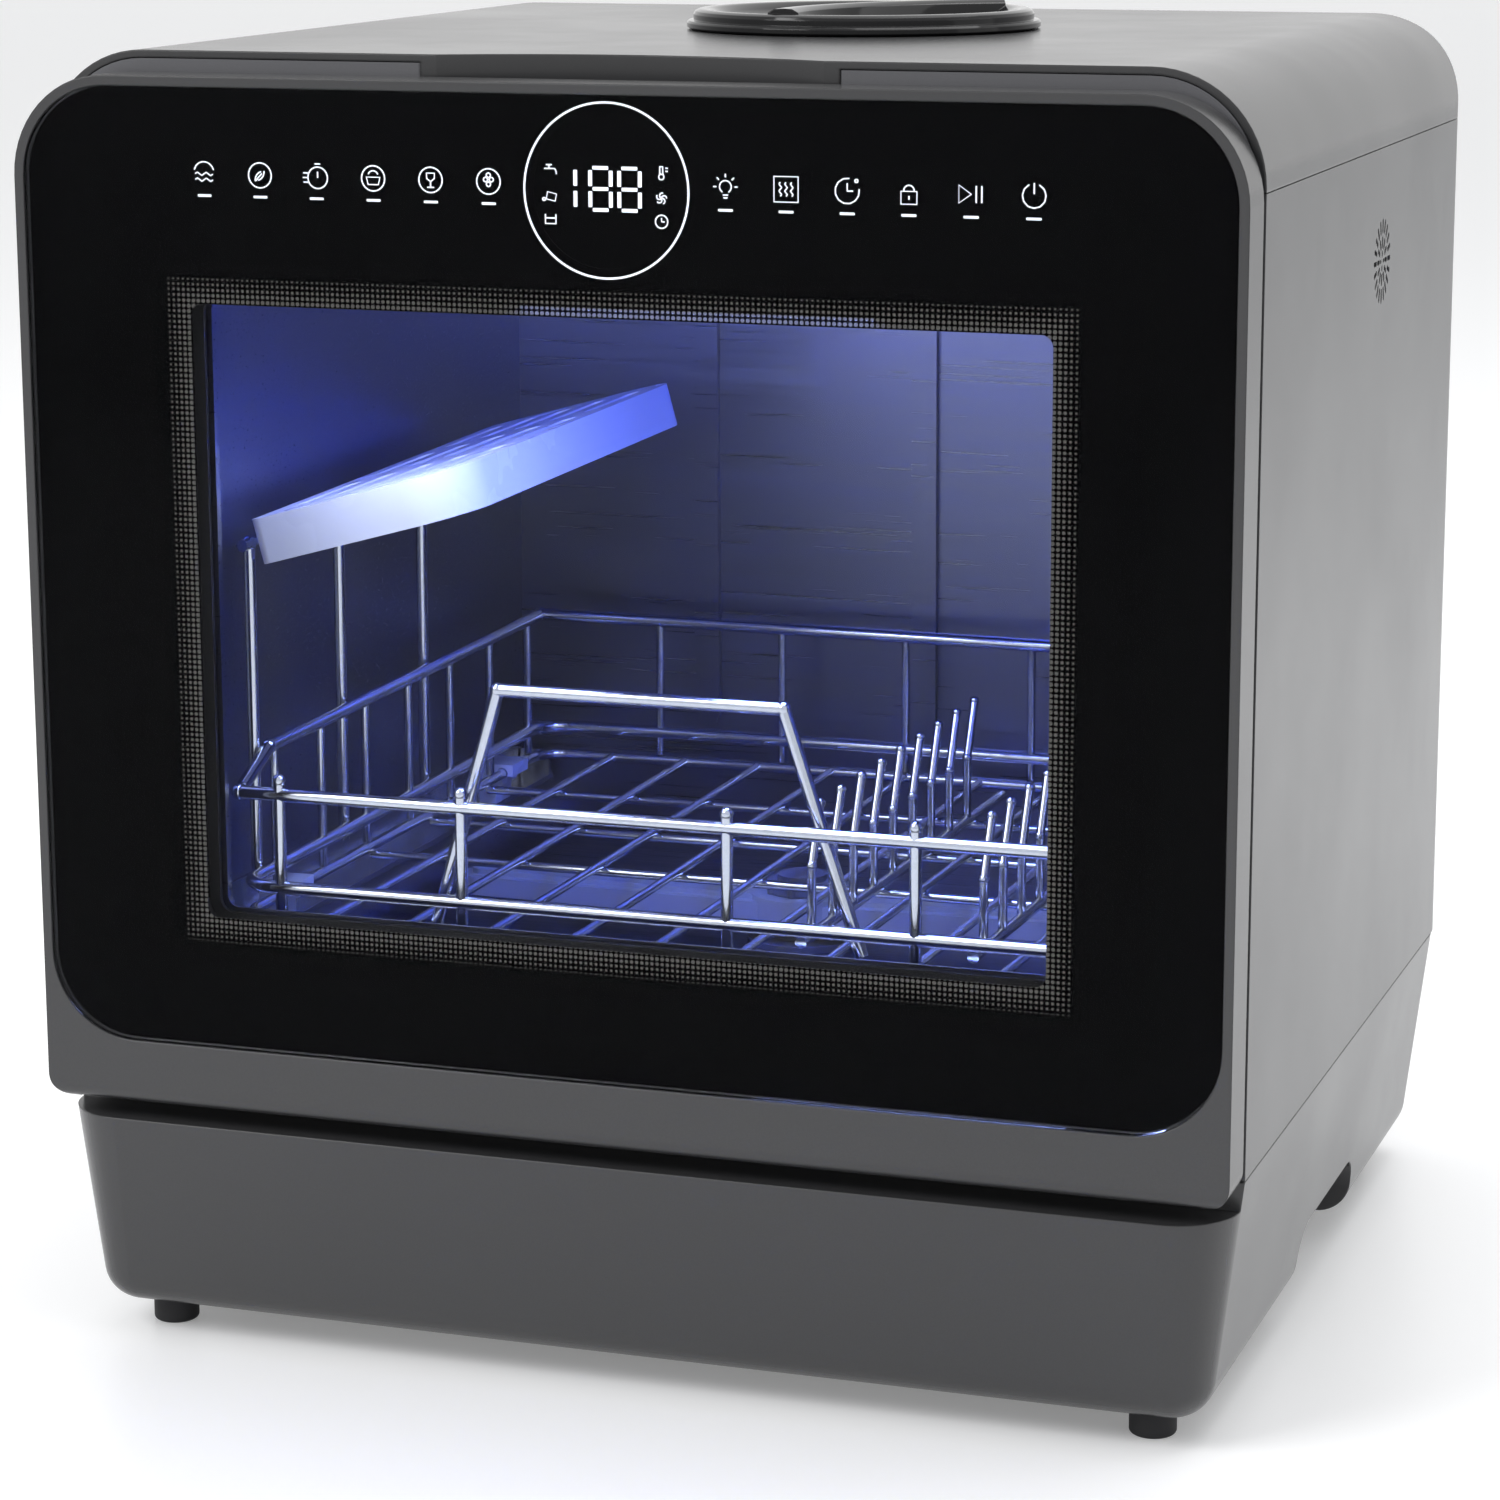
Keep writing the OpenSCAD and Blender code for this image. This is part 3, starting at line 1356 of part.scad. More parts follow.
// The rack's four walls of rails and uprights, which stand on the floor's loop.
module rack_walls() {
    color("#cfd3d8") {
        bar([bend_r - rack_x, rack_y, rack_z1], [rack_x - bend_r, rack_y, rack_z1], rail_d);
        bar([-rack_x, rack_y, rack_z2], [rack_x, rack_y, rack_z2], rail_d);
        for (s = [-1, 1]) knob([s * rack_x, rack_y, rack_z2], rail_d);
        for (x = front_posts) {
            bar([x, rack_y, post_z0], [x, rack_y, rack_z2 + 5], front_d);
            knob([x, rack_y, rack_z2 + 5], front_d);
        }
        for (s = [-1, 1]) mirror([s < 0 ? 1 : 0, 0, 0]) rack_side();
        bar([bend_r - rack_x, rack_back, rack_z1], [rack_x - bend_r, rack_back, rack_z1], rail_d);
        bar([-rack_x, rack_back, rack_z3], [rack_x, rack_back, rack_z3], rail_d);
        for (s = [-1, 1]) knob([s * rack_x, rack_back, rack_z3], rail_d);
        for (i = [-2:2])
            bar([i * rack_x / 3, rack_back, post_z0], [i * rack_x / 3, rack_back, rack_z3], wire_d);
    }
}

// A side wall, whose top rail steps up behind the front.
module rack_side() {
    corner = [rack_x, rack_y, rack_z2];
    knee = [rack_x, rack_y + 26, rack_z3];
    off = (rail_d + knob_more) / 2 + gap;
    bar([rack_x, rack_y + bend_r, rack_z1], [rack_x, rack_back - bend_r, rack_z1], rail_d);
    bar(corner + off * (knee - corner) / norm(knee - corner), knee, rail_d);
    knob(knee, rail_d);
    bar(knee, [rack_x, rack_back - off, rack_z3], rail_d);
    for (i = [0:side_posts])
        bar([rack_x, post_y0 + i * post_step, post_z0], [rack_x, post_y0 + i * post_step, rack_z3], wire_d);
}

// The bends that join the lower rails of the four walls.
module rack_corners() {
    half_d = rack_d / 2;
    color("#cfd3d8") translate([0, rack_y + half_d, rack_z1]) for (a = [0, 180]) rotate([0, 0, a]) {
        translate([rack_x - bend_r, half_d - bend_r, 0]) wire_bend(rail_d);
        translate([rack_x - bend_r, bend_r - half_d, 0]) rotate([0, 0, -90]) wire_bend(rail_d);
    }
}

// Two clip-in rows of bent tines that hold plates on the right side.
module tine_rows() {
    z = cross_z + wire_d / 2 + loop_d / 2 + gap;
    pitch = (rack_d - 80) / tines;
    bend = z + tine_h * 0.55;
    lean = 9;
    color("#cfd3d8") for (x = [1.5 * long_step, 3.5 * long_step]) {
        bar([x, rack_y + 22, z], [x, rack_back - 22, z], loop_d);
        for (i = [0:tines - 1]) {
            y = rack_y + 34 + i * pitch;
            bar([x, y, z], [x, y, bend], wire_d);
            knob([x, y, bend], wire_d);
            bar([x, y, bend], [x, y + lean, z + tine_h], wire_d);
            knob([x, y + lean, z + tine_h], wire_d);
        }
    }
}

// The bent hoop behind the front rail that keeps glasses upright.
module cup_arch() {
    foot_z = cross_z + loop_d / 2 + gap + 0.7;
    top_a = [-0.408 * rack_x, arch_y + 4, 231];
    top_b = [0.27 * rack_x, arch_y + 4, 231];
    color("#cfd3d8") {
        bar([-0.553 * rack_x, arch_y, foot_z], top_a, rail_d);
        bar(top_a, top_b, rail_d);
        bar([0.46 * rack_x, arch_y, foot_z], top_b, rail_d);
        for (p = [top_a, top_b]) knob(p, rail_d);
    }
}

// Three posts beside the left wall, and the rod on them that carries the cup shelf.
module shelf_posts() {
    color("#cfd3d8") {
        for (y = shelf_posts_y) {
            bar([shelf_x, y, rack_z1 - 6], [shelf_x, y, shelf_z], front_d);
            knob([shelf_x, y, shelf_z], front_d + knob_more);
        }
        bar([shelf_x, shelf_y, shelf_z], [shelf_x, shelf_y + shelf_d, shelf_z], rod_d);
    }
}

module rack_glides() {
    len = 16;
    z0 = glide_z0;
    front_y = (post_y0 + rack_y + cross_step) / 2;
    back_y = post_y0 + (side_posts - 0.5) * post_step;
    color("#e9ebee") for (s = [-1, 1], y = [front_y, back_y])
        mirror([s < 0 ? 1 : 0, 0, 0]) translate([rack_x, y, 0]) difference() {
            rotate([90, 0, 0]) linear_extrude(len, center = true) union() {
                translate([2.6, z0]) square([7.1, rack_z0 - z0]);
                translate([-4.5, rack_z0 - 4.5]) square([14.2, 8]);
            }
            translate([0, 0, rack_z0]) rotate([90, 0, 0])
                cylinder(h = 2 * len, d = loop_d + 2 * gap, center = true);
            translate([-6, -len, rack_z0 - 6]) cube([6, 2 * len, 6 - loop_d / 2 + 1]);
        }
}

// The tray's outline from above, wide curves at its free corners, drawn in by a margin.
module tray_outline(x0, inset) {
    translate([0, shelf_d / 2]) rotate(-90)
        upright_outline(shelf_d - 2 * inset, x0 + inset, shelf_w - inset, 22 - inset, 4 - inset);
}

// The fold-up shelf: a shallow slotted tray, open below, with sleeves round the rod.
module cup_shelf() {
    x0 = 5;
    t = 2;
    half = shelf_t / 2;
    color("#eef1f6") translate([shelf_x, shelf_y, shelf_z]) rotate([0, -shelf_tilt, 0]) difference() {
        union() {
            translate([0, 0, -half]) linear_extrude(shelf_t) tray_outline(x0, 0);
            for (y = [0.18, 0.53, 0.86] * shelf_d) {
                translate([0, y + 7, 0]) rotate([90, 0, 0]) cylinder(h = 14, r = rod_d / 2 + 2.2);
                translate([0, y - 7, -2.5]) cube([x0 + 3, 14, 5]);
            }
        }
        translate([0, 0, -half - over]) linear_extrude(shelf_t - t + over) tray_outline(x0, t);
        translate([0, -over, 0]) rotate([-90, 0, 0])
            cylinder(h = shelf_d + 2 * over, r = rod_d / 2 + run_gap);
        for (i = [0:4], y = [0.2, 0.5, 0.8] * shelf_d)
            translate([16 + i * (shelf_w - 28) / 4, y, 0]) linear_extrude(shelf_t)
                rounded(6, shelf_d * 0.22, 2.9);
    }
}

// Shifts the drawing so that its zero is under the middle of the whole footprint.
module on_table() {
    translate([0, -mid_y, 0]) children();
}

on_table() base_shell();
on_table() base_pan();
on_table() feet();
on_table() side_panel_left();
on_table() side_panel_right();
on_table() top_cover();
on_table() back_panel();
on_table() case_screws();
on_table() front_frame();
on_table() door_gasket();
on_table() door_catch();
on_table() tub();
on_table() tub_rear();
on_table() rack_rails();
on_table() sump();
on_table() filter_plate();
on_table() filter_cup();
on_table() spray_post();
on_table() spray_nut();
on_table() spray_arm();
on_table() wash_pump();
on_table() drain_pump();
on_table() flow_heater();
on_table() water_tank();
on_table() fill_funnel();
on_table() lid_seat();
on_table() fill_lid();
on_table() lid_seal();
on_table() drying_fan();
on_table() fan_duct();
on_table() power_board();
on_table() lamp_housing();
on_table() lamp_lens();
on_table() inlet_connector();
on_table() drain_spigot();
on_table() cord_gland();
on_table() inner_hoses();
on_table() hinge_brackets();
on_table() hinge_pins();
on_table() hinge_leaves();
on_table() door_frame();
on_table() door_glass();
on_table() key_symbols();
on_table() glass_print();
on_table() digit_segments();
on_table() display_body();
on_table() control_board();
on_table() door_liner();
on_table() liner_screws();
on_table() inner_glass();
on_table() window_seal();
on_table() catch_tongue();
on_table() rack_floor();
on_table() rack_walls();
on_table() rack_corners();
on_table() tine_rows();
on_table() cup_arch();
on_table() shelf_posts();
on_table() rack_glides();
on_table() cup_shelf();
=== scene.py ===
"""Countertop dishwasher: finishes, added pieces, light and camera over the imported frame."""

from __future__ import annotations

import json
import logging
import math
from dataclasses import dataclass, field
from enum import Enum
from typing import Callable, Iterable, Sequence

import bpy
from mathutils import Matrix, Vector

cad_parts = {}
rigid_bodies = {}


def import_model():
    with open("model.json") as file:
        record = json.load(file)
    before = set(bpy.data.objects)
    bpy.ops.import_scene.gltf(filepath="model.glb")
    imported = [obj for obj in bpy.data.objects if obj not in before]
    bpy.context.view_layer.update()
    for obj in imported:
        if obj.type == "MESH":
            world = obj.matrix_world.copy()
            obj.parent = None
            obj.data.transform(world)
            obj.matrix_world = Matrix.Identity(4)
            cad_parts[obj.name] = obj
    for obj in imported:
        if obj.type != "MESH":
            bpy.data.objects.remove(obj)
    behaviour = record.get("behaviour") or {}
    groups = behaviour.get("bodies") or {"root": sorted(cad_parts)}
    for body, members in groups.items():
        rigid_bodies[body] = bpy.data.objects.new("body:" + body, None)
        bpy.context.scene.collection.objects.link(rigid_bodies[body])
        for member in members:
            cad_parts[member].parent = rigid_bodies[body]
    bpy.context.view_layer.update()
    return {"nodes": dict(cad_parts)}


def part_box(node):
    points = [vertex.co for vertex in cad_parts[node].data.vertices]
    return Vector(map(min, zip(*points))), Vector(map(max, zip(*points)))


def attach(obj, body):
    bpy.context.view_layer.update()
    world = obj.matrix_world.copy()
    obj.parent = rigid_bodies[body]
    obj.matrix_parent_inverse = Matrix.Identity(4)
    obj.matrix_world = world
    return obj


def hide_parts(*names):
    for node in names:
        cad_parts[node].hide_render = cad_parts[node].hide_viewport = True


LOG = logging.getLogger("dishwasher")
MM = 0.001
NOISE_LOW, NOISE_HIGH = 0.3, 0.7  # where most of a noise's values lie
MERGE = 0.002 * MM  # vertices nearer than this are one

Colour = tuple[float, float, float]
Place = tuple[float, float, float]
Point = tuple[float, float]


# ---------------------------------------------------------------- node building


class Recipe:
    """One node tree in the making: a material's or a node group's."""

    def __init__(self, tree: bpy.types.NodeTree) -> None:
        """Start on an empty tree.

        Args:
            tree: The node tree to fill.
        """
        self.tree = tree
        tree.nodes.clear()

    def add(self, kind: str, **settings: object) -> bpy.types.Node:
        """Add a node and set its properties.

        Args:
            kind: The node's Blender type name without the ShaderNode prefix.
            settings: Property values by name.

        Returns:
            The new node.
        """
        prefix = "" if kind.startswith("Node") else "ShaderNode"
        node = self.tree.nodes.new(prefix + kind)
        for name, value in settings.items():
            setattr(node, name, value)
        return node

    def join(self, start: bpy.types.NodeSocket, end: bpy.types.NodeSocket) -> None:
        """Link two sockets."""
        self.tree.links.new(start, end)

    def math(self, operation: str, first: object, second: object = None) -> bpy.types.NodeSocket:
        """Add a Math node on sockets or plain numbers.

        Args:
            operation: The Math node's operation.
            first: The first socket or number.
            second: The second socket or number, if the operation has one.

        Returns:
            The node's output.
        """
        node = self.add("Math", operation=operation)
        for socket, value in zip(node.inputs, (first, second)):
            if isinstance(value, bpy.types.NodeSocket):
                self.join(value, socket)
            elif value is not None:
                socket.default_value = value
        return node.outputs[0]

    def blend(
        self, mask: bpy.types.NodeSocket, low: Colour, high: Colour, target: bpy.types.NodeSocket
    ) -> None:
        """Let a mask mix two colours into a socket.

        Args:
            mask: The value that the mix follows.
            low: The colour where the mask is 0.
            high: The colour where the mask is 1.
            target: The socket that takes the mix.
        """
        mix = self.add("Mix", data_type="RGBA")
        mix.inputs["A"].default_value = (*low, 1.0)
        mix.inputs["B"].default_value = (*high, 1.0)
        self.join(mask, mix.inputs["Factor"])
        self.join(mix.outputs["Result"], target)


class EffectGroup:
    """A shared shader effect with named sockets, built once."""

    title = "effect"
    inputs: dict[str, tuple[str, object]] = {}
    outputs: dict[str, str] = {}

    @classmethod
    def tree(cls) -> bpy.types.NodeTree:
        """Return the group's tree, making it the first time.

        Returns:
            The shader node group.
        """
        known = bpy.data.node_groups.get(cls.title)
        if known is not None:
            return known
        made = bpy.data.node_groups.new(cls.title, "ShaderNodeTree")
        for name, (kind, value) in cls.inputs.items():
            socket = made.interface.new_socket(name, in_out="INPUT", socket_type=kind)
            socket.default_value = value
        for name, kind in cls.outputs.items():
            made.interface.new_socket(name, in_out="OUTPUT", socket_type=kind)
        recipe = Recipe(made)
        start, end = recipe.add("NodeGroupInput"), recipe.add("NodeGroupOutput")
        cls.fill(recipe, start, end)
        return made

    @classmethod
    def fill(cls, recipe: Recipe, start: bpy.types.Node, end: bpy.types.Node) -> None:
        """Build the nodes between the group's input and output.

        Args:
            recipe: The tree's builder.
            start: The group input node.
            end: The group output node.
        """
        raise NotImplementedError

    @classmethod
    def use(cls, recipe: Recipe, **values: object) -> bpy.types.Node:
        """Place the group in a material.

        Args:
            recipe: The material's builder.
            values: Input values by name, with underscores for spaces.

        Returns:
            The group node.
        """
        node = recipe.add("Group")
        node.node_tree = cls.tree()
        for name, value in values.items():
            node.inputs[name.replace("_", " ")].default_value = value
        return node

    @staticmethod
    def spread(
        recipe: Recipe, value: bpy.types.NodeSocket, start: bpy.types.Node
    ) -> bpy.types.NodeSocket:
        """Map a noise's middle part to the group's Low and High.

        Args:
            recipe: The group tree's builder.
            value: The noise.
            start: The group input node, with Low and High.

        Returns:
            The mapped value.
        """
        node = recipe.add("MapRange")
        node.inputs["From Min"].default_value = NOISE_LOW
        node.inputs["From Max"].default_value = NOISE_HIGH
        recipe.join(value, node.inputs["Value"])
        recipe.join(start.outputs["Low"], node.inputs["To Min"])
        recipe.join(start.outputs["High"], node.inputs["To Max"])
        return node.outputs["Result"]


class Grain(EffectGroup):
    """Fine moulded or painted grain."""

    title = "moulding grain"
    inputs = {"Scale": ("NodeSocketFloat", 900.0), "Depth": ("NodeSocketFloat", 1.0)}
    outputs = {"Height": "NodeSocketFloat", "Mask": "NodeSocketFloat"}

    @classmethod
    def fill(cls, recipe: Recipe, start: bpy.types.Node, end: bpy.types.Node) -> None:
        """Build a two-octave noise on Object coordinates."""
        place = recipe.add("TexCoord").outputs["Object"]
        noise = recipe.add("TexNoise")
        noise.inputs["Detail"].default_value = 2.0
        recipe.join(place, noise.inputs["Vector"])
        recipe.join(start.outputs["Scale"], noise.inputs["Scale"])
        height = recipe.math("MULTIPLY", noise.outputs["Fac"], start.outputs["Depth"])
        recipe.join(height, end.inputs["Height"])
        recipe.join(noise.outputs["Fac"], end.inputs["Mask"])


class Smudge(EffectGroup):
    """Slow change of roughness, as from handling and cleaning."""

    title = "handling smudge"
    inputs = {
        "Scale": ("NodeSocketFloat", 9.0),
        "Low": ("NodeSocketFloat", 0.2),
        "High": ("NodeSocketFloat", 0.3),
    }
    outputs = {"Roughness": "NodeSocketFloat"}

    @classmethod
    def fill(cls, recipe: Recipe, start: bpy.types.Node, end: bpy.types.Node) -> None:
        """Build a slow noise mapped to a roughness range."""
        place = recipe.add("TexCoord").outputs["Object"]
        noise = recipe.add("TexNoise")
        noise.inputs["Detail"].default_value = 4.0
        noise.inputs["Roughness"].default_value = 0.6
        recipe.join(place, noise.inputs["Vector"])
        recipe.join(start.outputs["Scale"], noise.inputs["Scale"])
        recipe.join(cls.spread(recipe, noise.outputs["Fac"], start), end.inputs["Roughness"])


class Brushing(EffectGroup):
    """Fine parallel lines, as on brushed sheet steel."""

    title = "brushed lines"
    inputs = {
        "Along": ("NodeSocketVector", (12.0, 900.0, 900.0)),
        "Low": ("NodeSocketFloat", 0.22),
        "High": ("NodeSocketFloat", 0.42),
    }
    outputs = {"Roughness": "NodeSocketFloat", "Mask": "NodeSocketFloat"}

    @classmethod
    def fill(cls, recipe: Recipe, start: bpy.types.Node, end: bpy.types.Node) -> None:
        """Build a noise that is stretched along one direction."""
        place = recipe.add("TexCoord").outputs["Object"]
        stretch = recipe.add("VectorMath", operation="MULTIPLY")
        noise = recipe.add("TexNoise")
        noise.inputs["Scale"].default_value = 1.0
        noise.inputs["Detail"].default_value = 3.0
        recipe.join(place, stretch.inputs[0])
        recipe.join(start.outputs["Along"], stretch.inputs[1])
        recipe.join(stretch.outputs[0], noise.inputs["Vector"])
        recipe.join(cls.spread(recipe, noise.outputs["Fac"], start), end.inputs["Roughness"])
        recipe.join(noise.outputs["Fac"], end.inputs["Mask"])


class DotBorder(EffectGroup):
    """Rows of printed dots round a window, growing towards its edge."""

    title = "dotted window border"
    inputs = {
        "Half Width": ("NodeSocketFloat", 0.148),
        "Half Height": ("NodeSocketFloat", 0.105),
        "Middle": ("NodeSocketFloat", 0.262),
        "Pitch": ("NodeSocketFloat", 0.0018),
        "Reach": ("NodeSocketFloat", 0.0085),
    }
    outputs = {"Mask": "NodeSocketFloat"}
    near_r = 0.4
    shrink = 0.2

    @classmethod
    def fill(cls, recipe: Recipe, start: bpy.types.Node, end: bpy.types.Node) -> None:
        """Build the dots from the distance to the window and the place in the grid."""
        split = recipe.add("SeparateXYZ")
        recipe.join(recipe.add("TexCoord").outputs["Object"], split.inputs[0])
        sides: list[bpy.types.NodeSocket] = []
        for axis, half in (("X", "Half Width"), ("Z", "Half Height")):
            place = split.outputs[axis]
            if axis == "Z":
                place = recipe.math("SUBTRACT", place, start.outputs["Middle"])
            place = recipe.math("ABSOLUTE", place)
            sides.append(recipe.math("SUBTRACT", place, start.outputs[half]))
        away = recipe.math("DIVIDE", recipe.math("MAXIMUM", *sides), start.outputs["Reach"])
        cells = []
        for axis in ("X", "Z"):
            step = recipe.math("DIVIDE", split.outputs[axis], start.outputs["Pitch"])
            off = recipe.math("SUBTRACT", recipe.math("FRACT", step), 0.5)
            cells.append(recipe.math("MULTIPLY", off, off))
        radius = recipe.math("SQRT", recipe.math("ADD", *cells))
        size = recipe.math("SUBTRACT", cls.near_r, recipe.math("MULTIPLY", away, cls.shrink))
        dot = recipe.math("LESS_THAN", radius, size)
        near = recipe.math("LESS_THAN", away, 1.0)
        recipe.join(recipe.math("MULTIPLY", dot, near), end.inputs["Mask"])


# ---------------------------------------------------------------- finishes


@dataclass(frozen=True)
class Finish:
    """A finish made round one Principled BSDF."""

    name: str
    colour: Colour
    metallic: float = 0.0
    low: float = 0.3
    high: float = 0.4
    grain: float = 900.0
    depth: float = 0.15
    specular: float = 0.5
    round_edge: float = 0.0
    tone: float = 0.06

    def material(self) -> bpy.types.Material:
        """Return the finish's material, making it the first time.

        Returns:
            The material.
        """
        known = bpy.data.materials.get(self.name)
        if known is not None:
            return known
        made = bpy.data.materials.new(self.name)
        made.use_nodes = True
        recipe = Recipe(made.node_tree)
        shader = recipe.add("BsdfPrincipled")
        recipe.join(shader.outputs[0], recipe.add("OutputMaterial").inputs["Surface"])
        shader.inputs["Base Color"].default_value = (*self.colour, 1.0)
        shader.inputs["Metallic"].default_value = self.metallic
        shader.inputs["Specular IOR Level"].default_value = self.specular
        self.dress(recipe, shader)
        return made

    def dress(self, recipe: Recipe, shader: bpy.types.Node) -> None:
        """Add the finish's own detail to its shader.

        Args:
            recipe: The material's builder.
            shader: The Principled BSDF.
        """
        grain = Grain.use(recipe, Scale=self.grain, Depth=self.depth)
        smudge = Smudge.use(recipe, Low=self.low, High=self.high)
        recipe.join(smudge.outputs["Roughness"], shader.inputs["Roughness"])
        self.tint(recipe, shader, grain.outputs["Mask"])
        self.bump(recipe, shader, grain.outputs["Height"])

    def tint(self, recipe: Recipe, shader: bpy.types.Node, mask: bpy.types.NodeSocket) -> None:
        """Vary the colour a little with a mask.

        Args:
            recipe: The material's builder.
            shader: The Principled BSDF.
            mask: The value that the colour follows.
        """
        dark = tuple(c * (1 - self.tone) for c in self.colour)
        pale = tuple(min(1.0, c * (1 + self.tone)) for c in self.colour)
        recipe.blend(mask, dark, pale, shader.inputs["Base Color"])

    def bump(self, recipe: Recipe, shader: bpy.types.Node, height: bpy.types.NodeSocket) -> None:
        """Let a height feed the shader's normal.

        Args:
            recipe: The material's builder.
            shader: The Principled BSDF.
            height: The height in tenths of a millimetre.
        """
        bump = recipe.add("Bump")
        bump.inputs["Strength"].default_value = 1.0
        bump.inputs["Distance"].default_value = 0.1 * MM
        recipe.join(height, bump.inputs["Height"])
        if self.round_edge > 0:
            edge = recipe.add("Bevel", samples=4)
            edge.inputs["Radius"].default_value = self.round_edge
            recipe.join(edge.outputs["Normal"], bump.inputs["Normal"])
        recipe.join(bump.outputs["Normal"], shader.inputs["Normal"])


@dataclass(frozen=True)
class Brushed(Finish):
    """Sheet steel with brushed lines."""

    along: tuple[float, float, float] = (12.0, 900.0, 900.0)

    def dress(self, recipe: Recipe, shader: bpy.types.Node) -> None:
        """Add the lines to roughness, colour and normal."""
        lines = Brushing.use(recipe, Along=self.along, Low=self.low, High=self.high)
        recipe.join(lines.outputs["Roughness"], shader.inputs["Roughness"])
        self.tint(recipe, shader, lines.outputs["Mask"])
        self.bump(recipe, shader, recipe.math("MULTIPLY", lines.outputs["Mask"], self.depth))


@dataclass(frozen=True)
class Glazing(Finish):
    """Clear float glass with faint wiping marks."""

    bend: float = 1.5
    wipe: float = 14.0

    def dress(self, recipe: Recipe, shader: bpy.types.Node) -> None:
        """Make the shader a clear glass."""
        smudge = Smudge.use(recipe, Scale=self.wipe, Low=self.low, High=self.high)
        recipe.join(smudge.outputs["Roughness"], shader.inputs["Roughness"])
        shader.inputs["Transmission Weight"].default_value = 1.0
        shader.inputs["IOR"].default_value = self.bend


@dataclass(frozen=True)
class Enamel(Finish):
    """Black enamel on the back of the glass, with a dotted border."""

    dot: Colour = (0.1, 0.095, 0.085)
    half_width: float = 0.148
    half_height: float = 0.105
    middle: float = 0.262
    # Strength of the dots' emission, a painted highlight on the printed dots.
    dot_painted_glow: float = 0.25

    def dress(self, recipe: Recipe, shader: bpy.types.Node) -> None:
        """Print the dots in a paler colour, with a faint emission on them as a painted highlight.
        """
        border = DotBorder.use(
            recipe, Half_Width=self.half_width, Half_Height=self.half_height, Middle=self.middle
        )
        smudge = Smudge.use(recipe, Low=self.low, High=self.high)
        recipe.join(smudge.outputs["Roughness"], shader.inputs["Roughness"])
        # The printed dots glow faintly by emission: a painted highlight, not light from a lamp.
        dot_painted_glow = tuple(self.dot_painted_glow * c for c in self.dot)
        mask = border.outputs["Mask"]
        recipe.blend(mask, self.colour, self.dot, shader.inputs["Base Color"])
        recipe.blend(mask, (0.0, 0.0, 0.0), dot_painted_glow, shader.inputs["Emission Color"])
        shader.inputs["Emission Strength"].default_value = 1.0


@dataclass(frozen=True)
class Lit(Finish):
    """A lit mark or lens."""

    grain: float = 350.0
    glow: Colour = (1.0, 1.0, 1.0)
    strength: float = 1.0
    dimmest: float = 0.85

    def dress(self, recipe: Recipe, shader: bpy.types.Node) -> None:
        """Let the mark shine, a little unevenly as a diffused light does."""
        grain = Grain.use(recipe, Scale=self.grain)
        dim = tuple(self.dimmest * c for c in self.glow)
        recipe.blend(grain.outputs["Mask"], dim, self.glow, shader.inputs["Emission Color"])
        shader.inputs["Emission Strength"].default_value = self.strength
        shader.inputs["Roughness"].default_value = self.low


FINISHES: dict[str, Finish] = {
    "body_plastic": Finish(
        "graphite_gloss", (0.042, 0.042, 0.044), low=0.2, high=0.26, grain=2600.0, depth=0.05,
        round_edge=0.9 * MM, tone=0.12,
    ),
    "dark_plastic": Finish(
        "dark_moulding", (0.035, 0.035, 0.038), low=0.42, high=0.55, grain=1400.0, depth=0.3,
        round_edge=0.5 * MM,
    ),
    "black_rubber": Finish(
        "rubber", (0.018, 0.018, 0.02), low=0.6, high=0.75, grain=1100.0, depth=0.35, specular=0.35
    ),
    # The steel's base colour is kept dark and tinted blue: painted shade and painted blue lamp
    # light in the tub.
    "steel": Brushed(
        "brushed_sheet_painted_blue_shade", (0.2, 0.21, 0.27), metallic=1.0, low=0.26, high=0.42, depth=0.12
    ),
    "bright_steel": Brushed(
        "turned_steel", (0.6, 0.61, 0.63), metallic=1.0, low=0.14, high=0.24, depth=0.05,
        along=(700.0, 700.0, 60.0),
    ),
    "grey_steel": Finish("motor_case", (0.3, 0.31, 0.32), metallic=0.8, low=0.38, high=0.5),
    "grey_plastic": Finish(
        "grey_moulding", (0.13, 0.13, 0.14), low=0.4, high=0.52, grain=1300.0, depth=0.25
    ),
    "tank_plastic": Finish("natural_tank", (0.62, 0.66, 0.7), low=0.38, high=0.5, grain=500.0),
    "arm_plastic": Finish("spray_arm_grey", (0.4, 0.42, 0.44), low=0.36, high=0.46),
    "white_plastic": Finish(
        "white_moulding", (0.8, 0.82, 0.86), low=0.22, high=0.32, grain=800.0, tone=0.03
    ),
    "lid_plastic": Finish(
        "lid_gloss", (0.008, 0.008, 0.009), low=0.07, high=0.13, depth=0.02, specular=0.3,
        round_edge=0.5 * MM,
    ),
    "black_glass": Glazing("door_float_glass", (0.86, 0.87, 0.9), low=0.0, high=0.012, bend=1.09),
    "clear_glass": Glazing("inner_pane", (0.95, 0.97, 1.0), low=0.0, high=0.02, bend=1.1),
    "print_black": Enamel(
        "black_enamel", (0.0012, 0.0012, 0.0015), low=0.5, high=0.6, specular=0.0
    ),
    "mark_white": Lit("lit_mark", (0.9, 0.92, 0.95), glow=(0.92, 0.95, 1.0), strength=0.95),
    "board_green": Finish("solder_mask", (0.02, 0.12, 0.05), low=0.28, high=0.36),
    "rack_steel": Brushed(
        "rack_wire", (0.72, 0.74, 0.78), metallic=1.0, low=0.1, high=0.2, depth=0.04,
        along=(300.0, 300.0, 300.0),
    ),
    "lamp": Lit("blue_lens", (0.2, 0.35, 1.0), glow=(0.08, 0.18, 1.0), strength=3.0),
}


# ---------------------------------------------------------------- modelling by operators


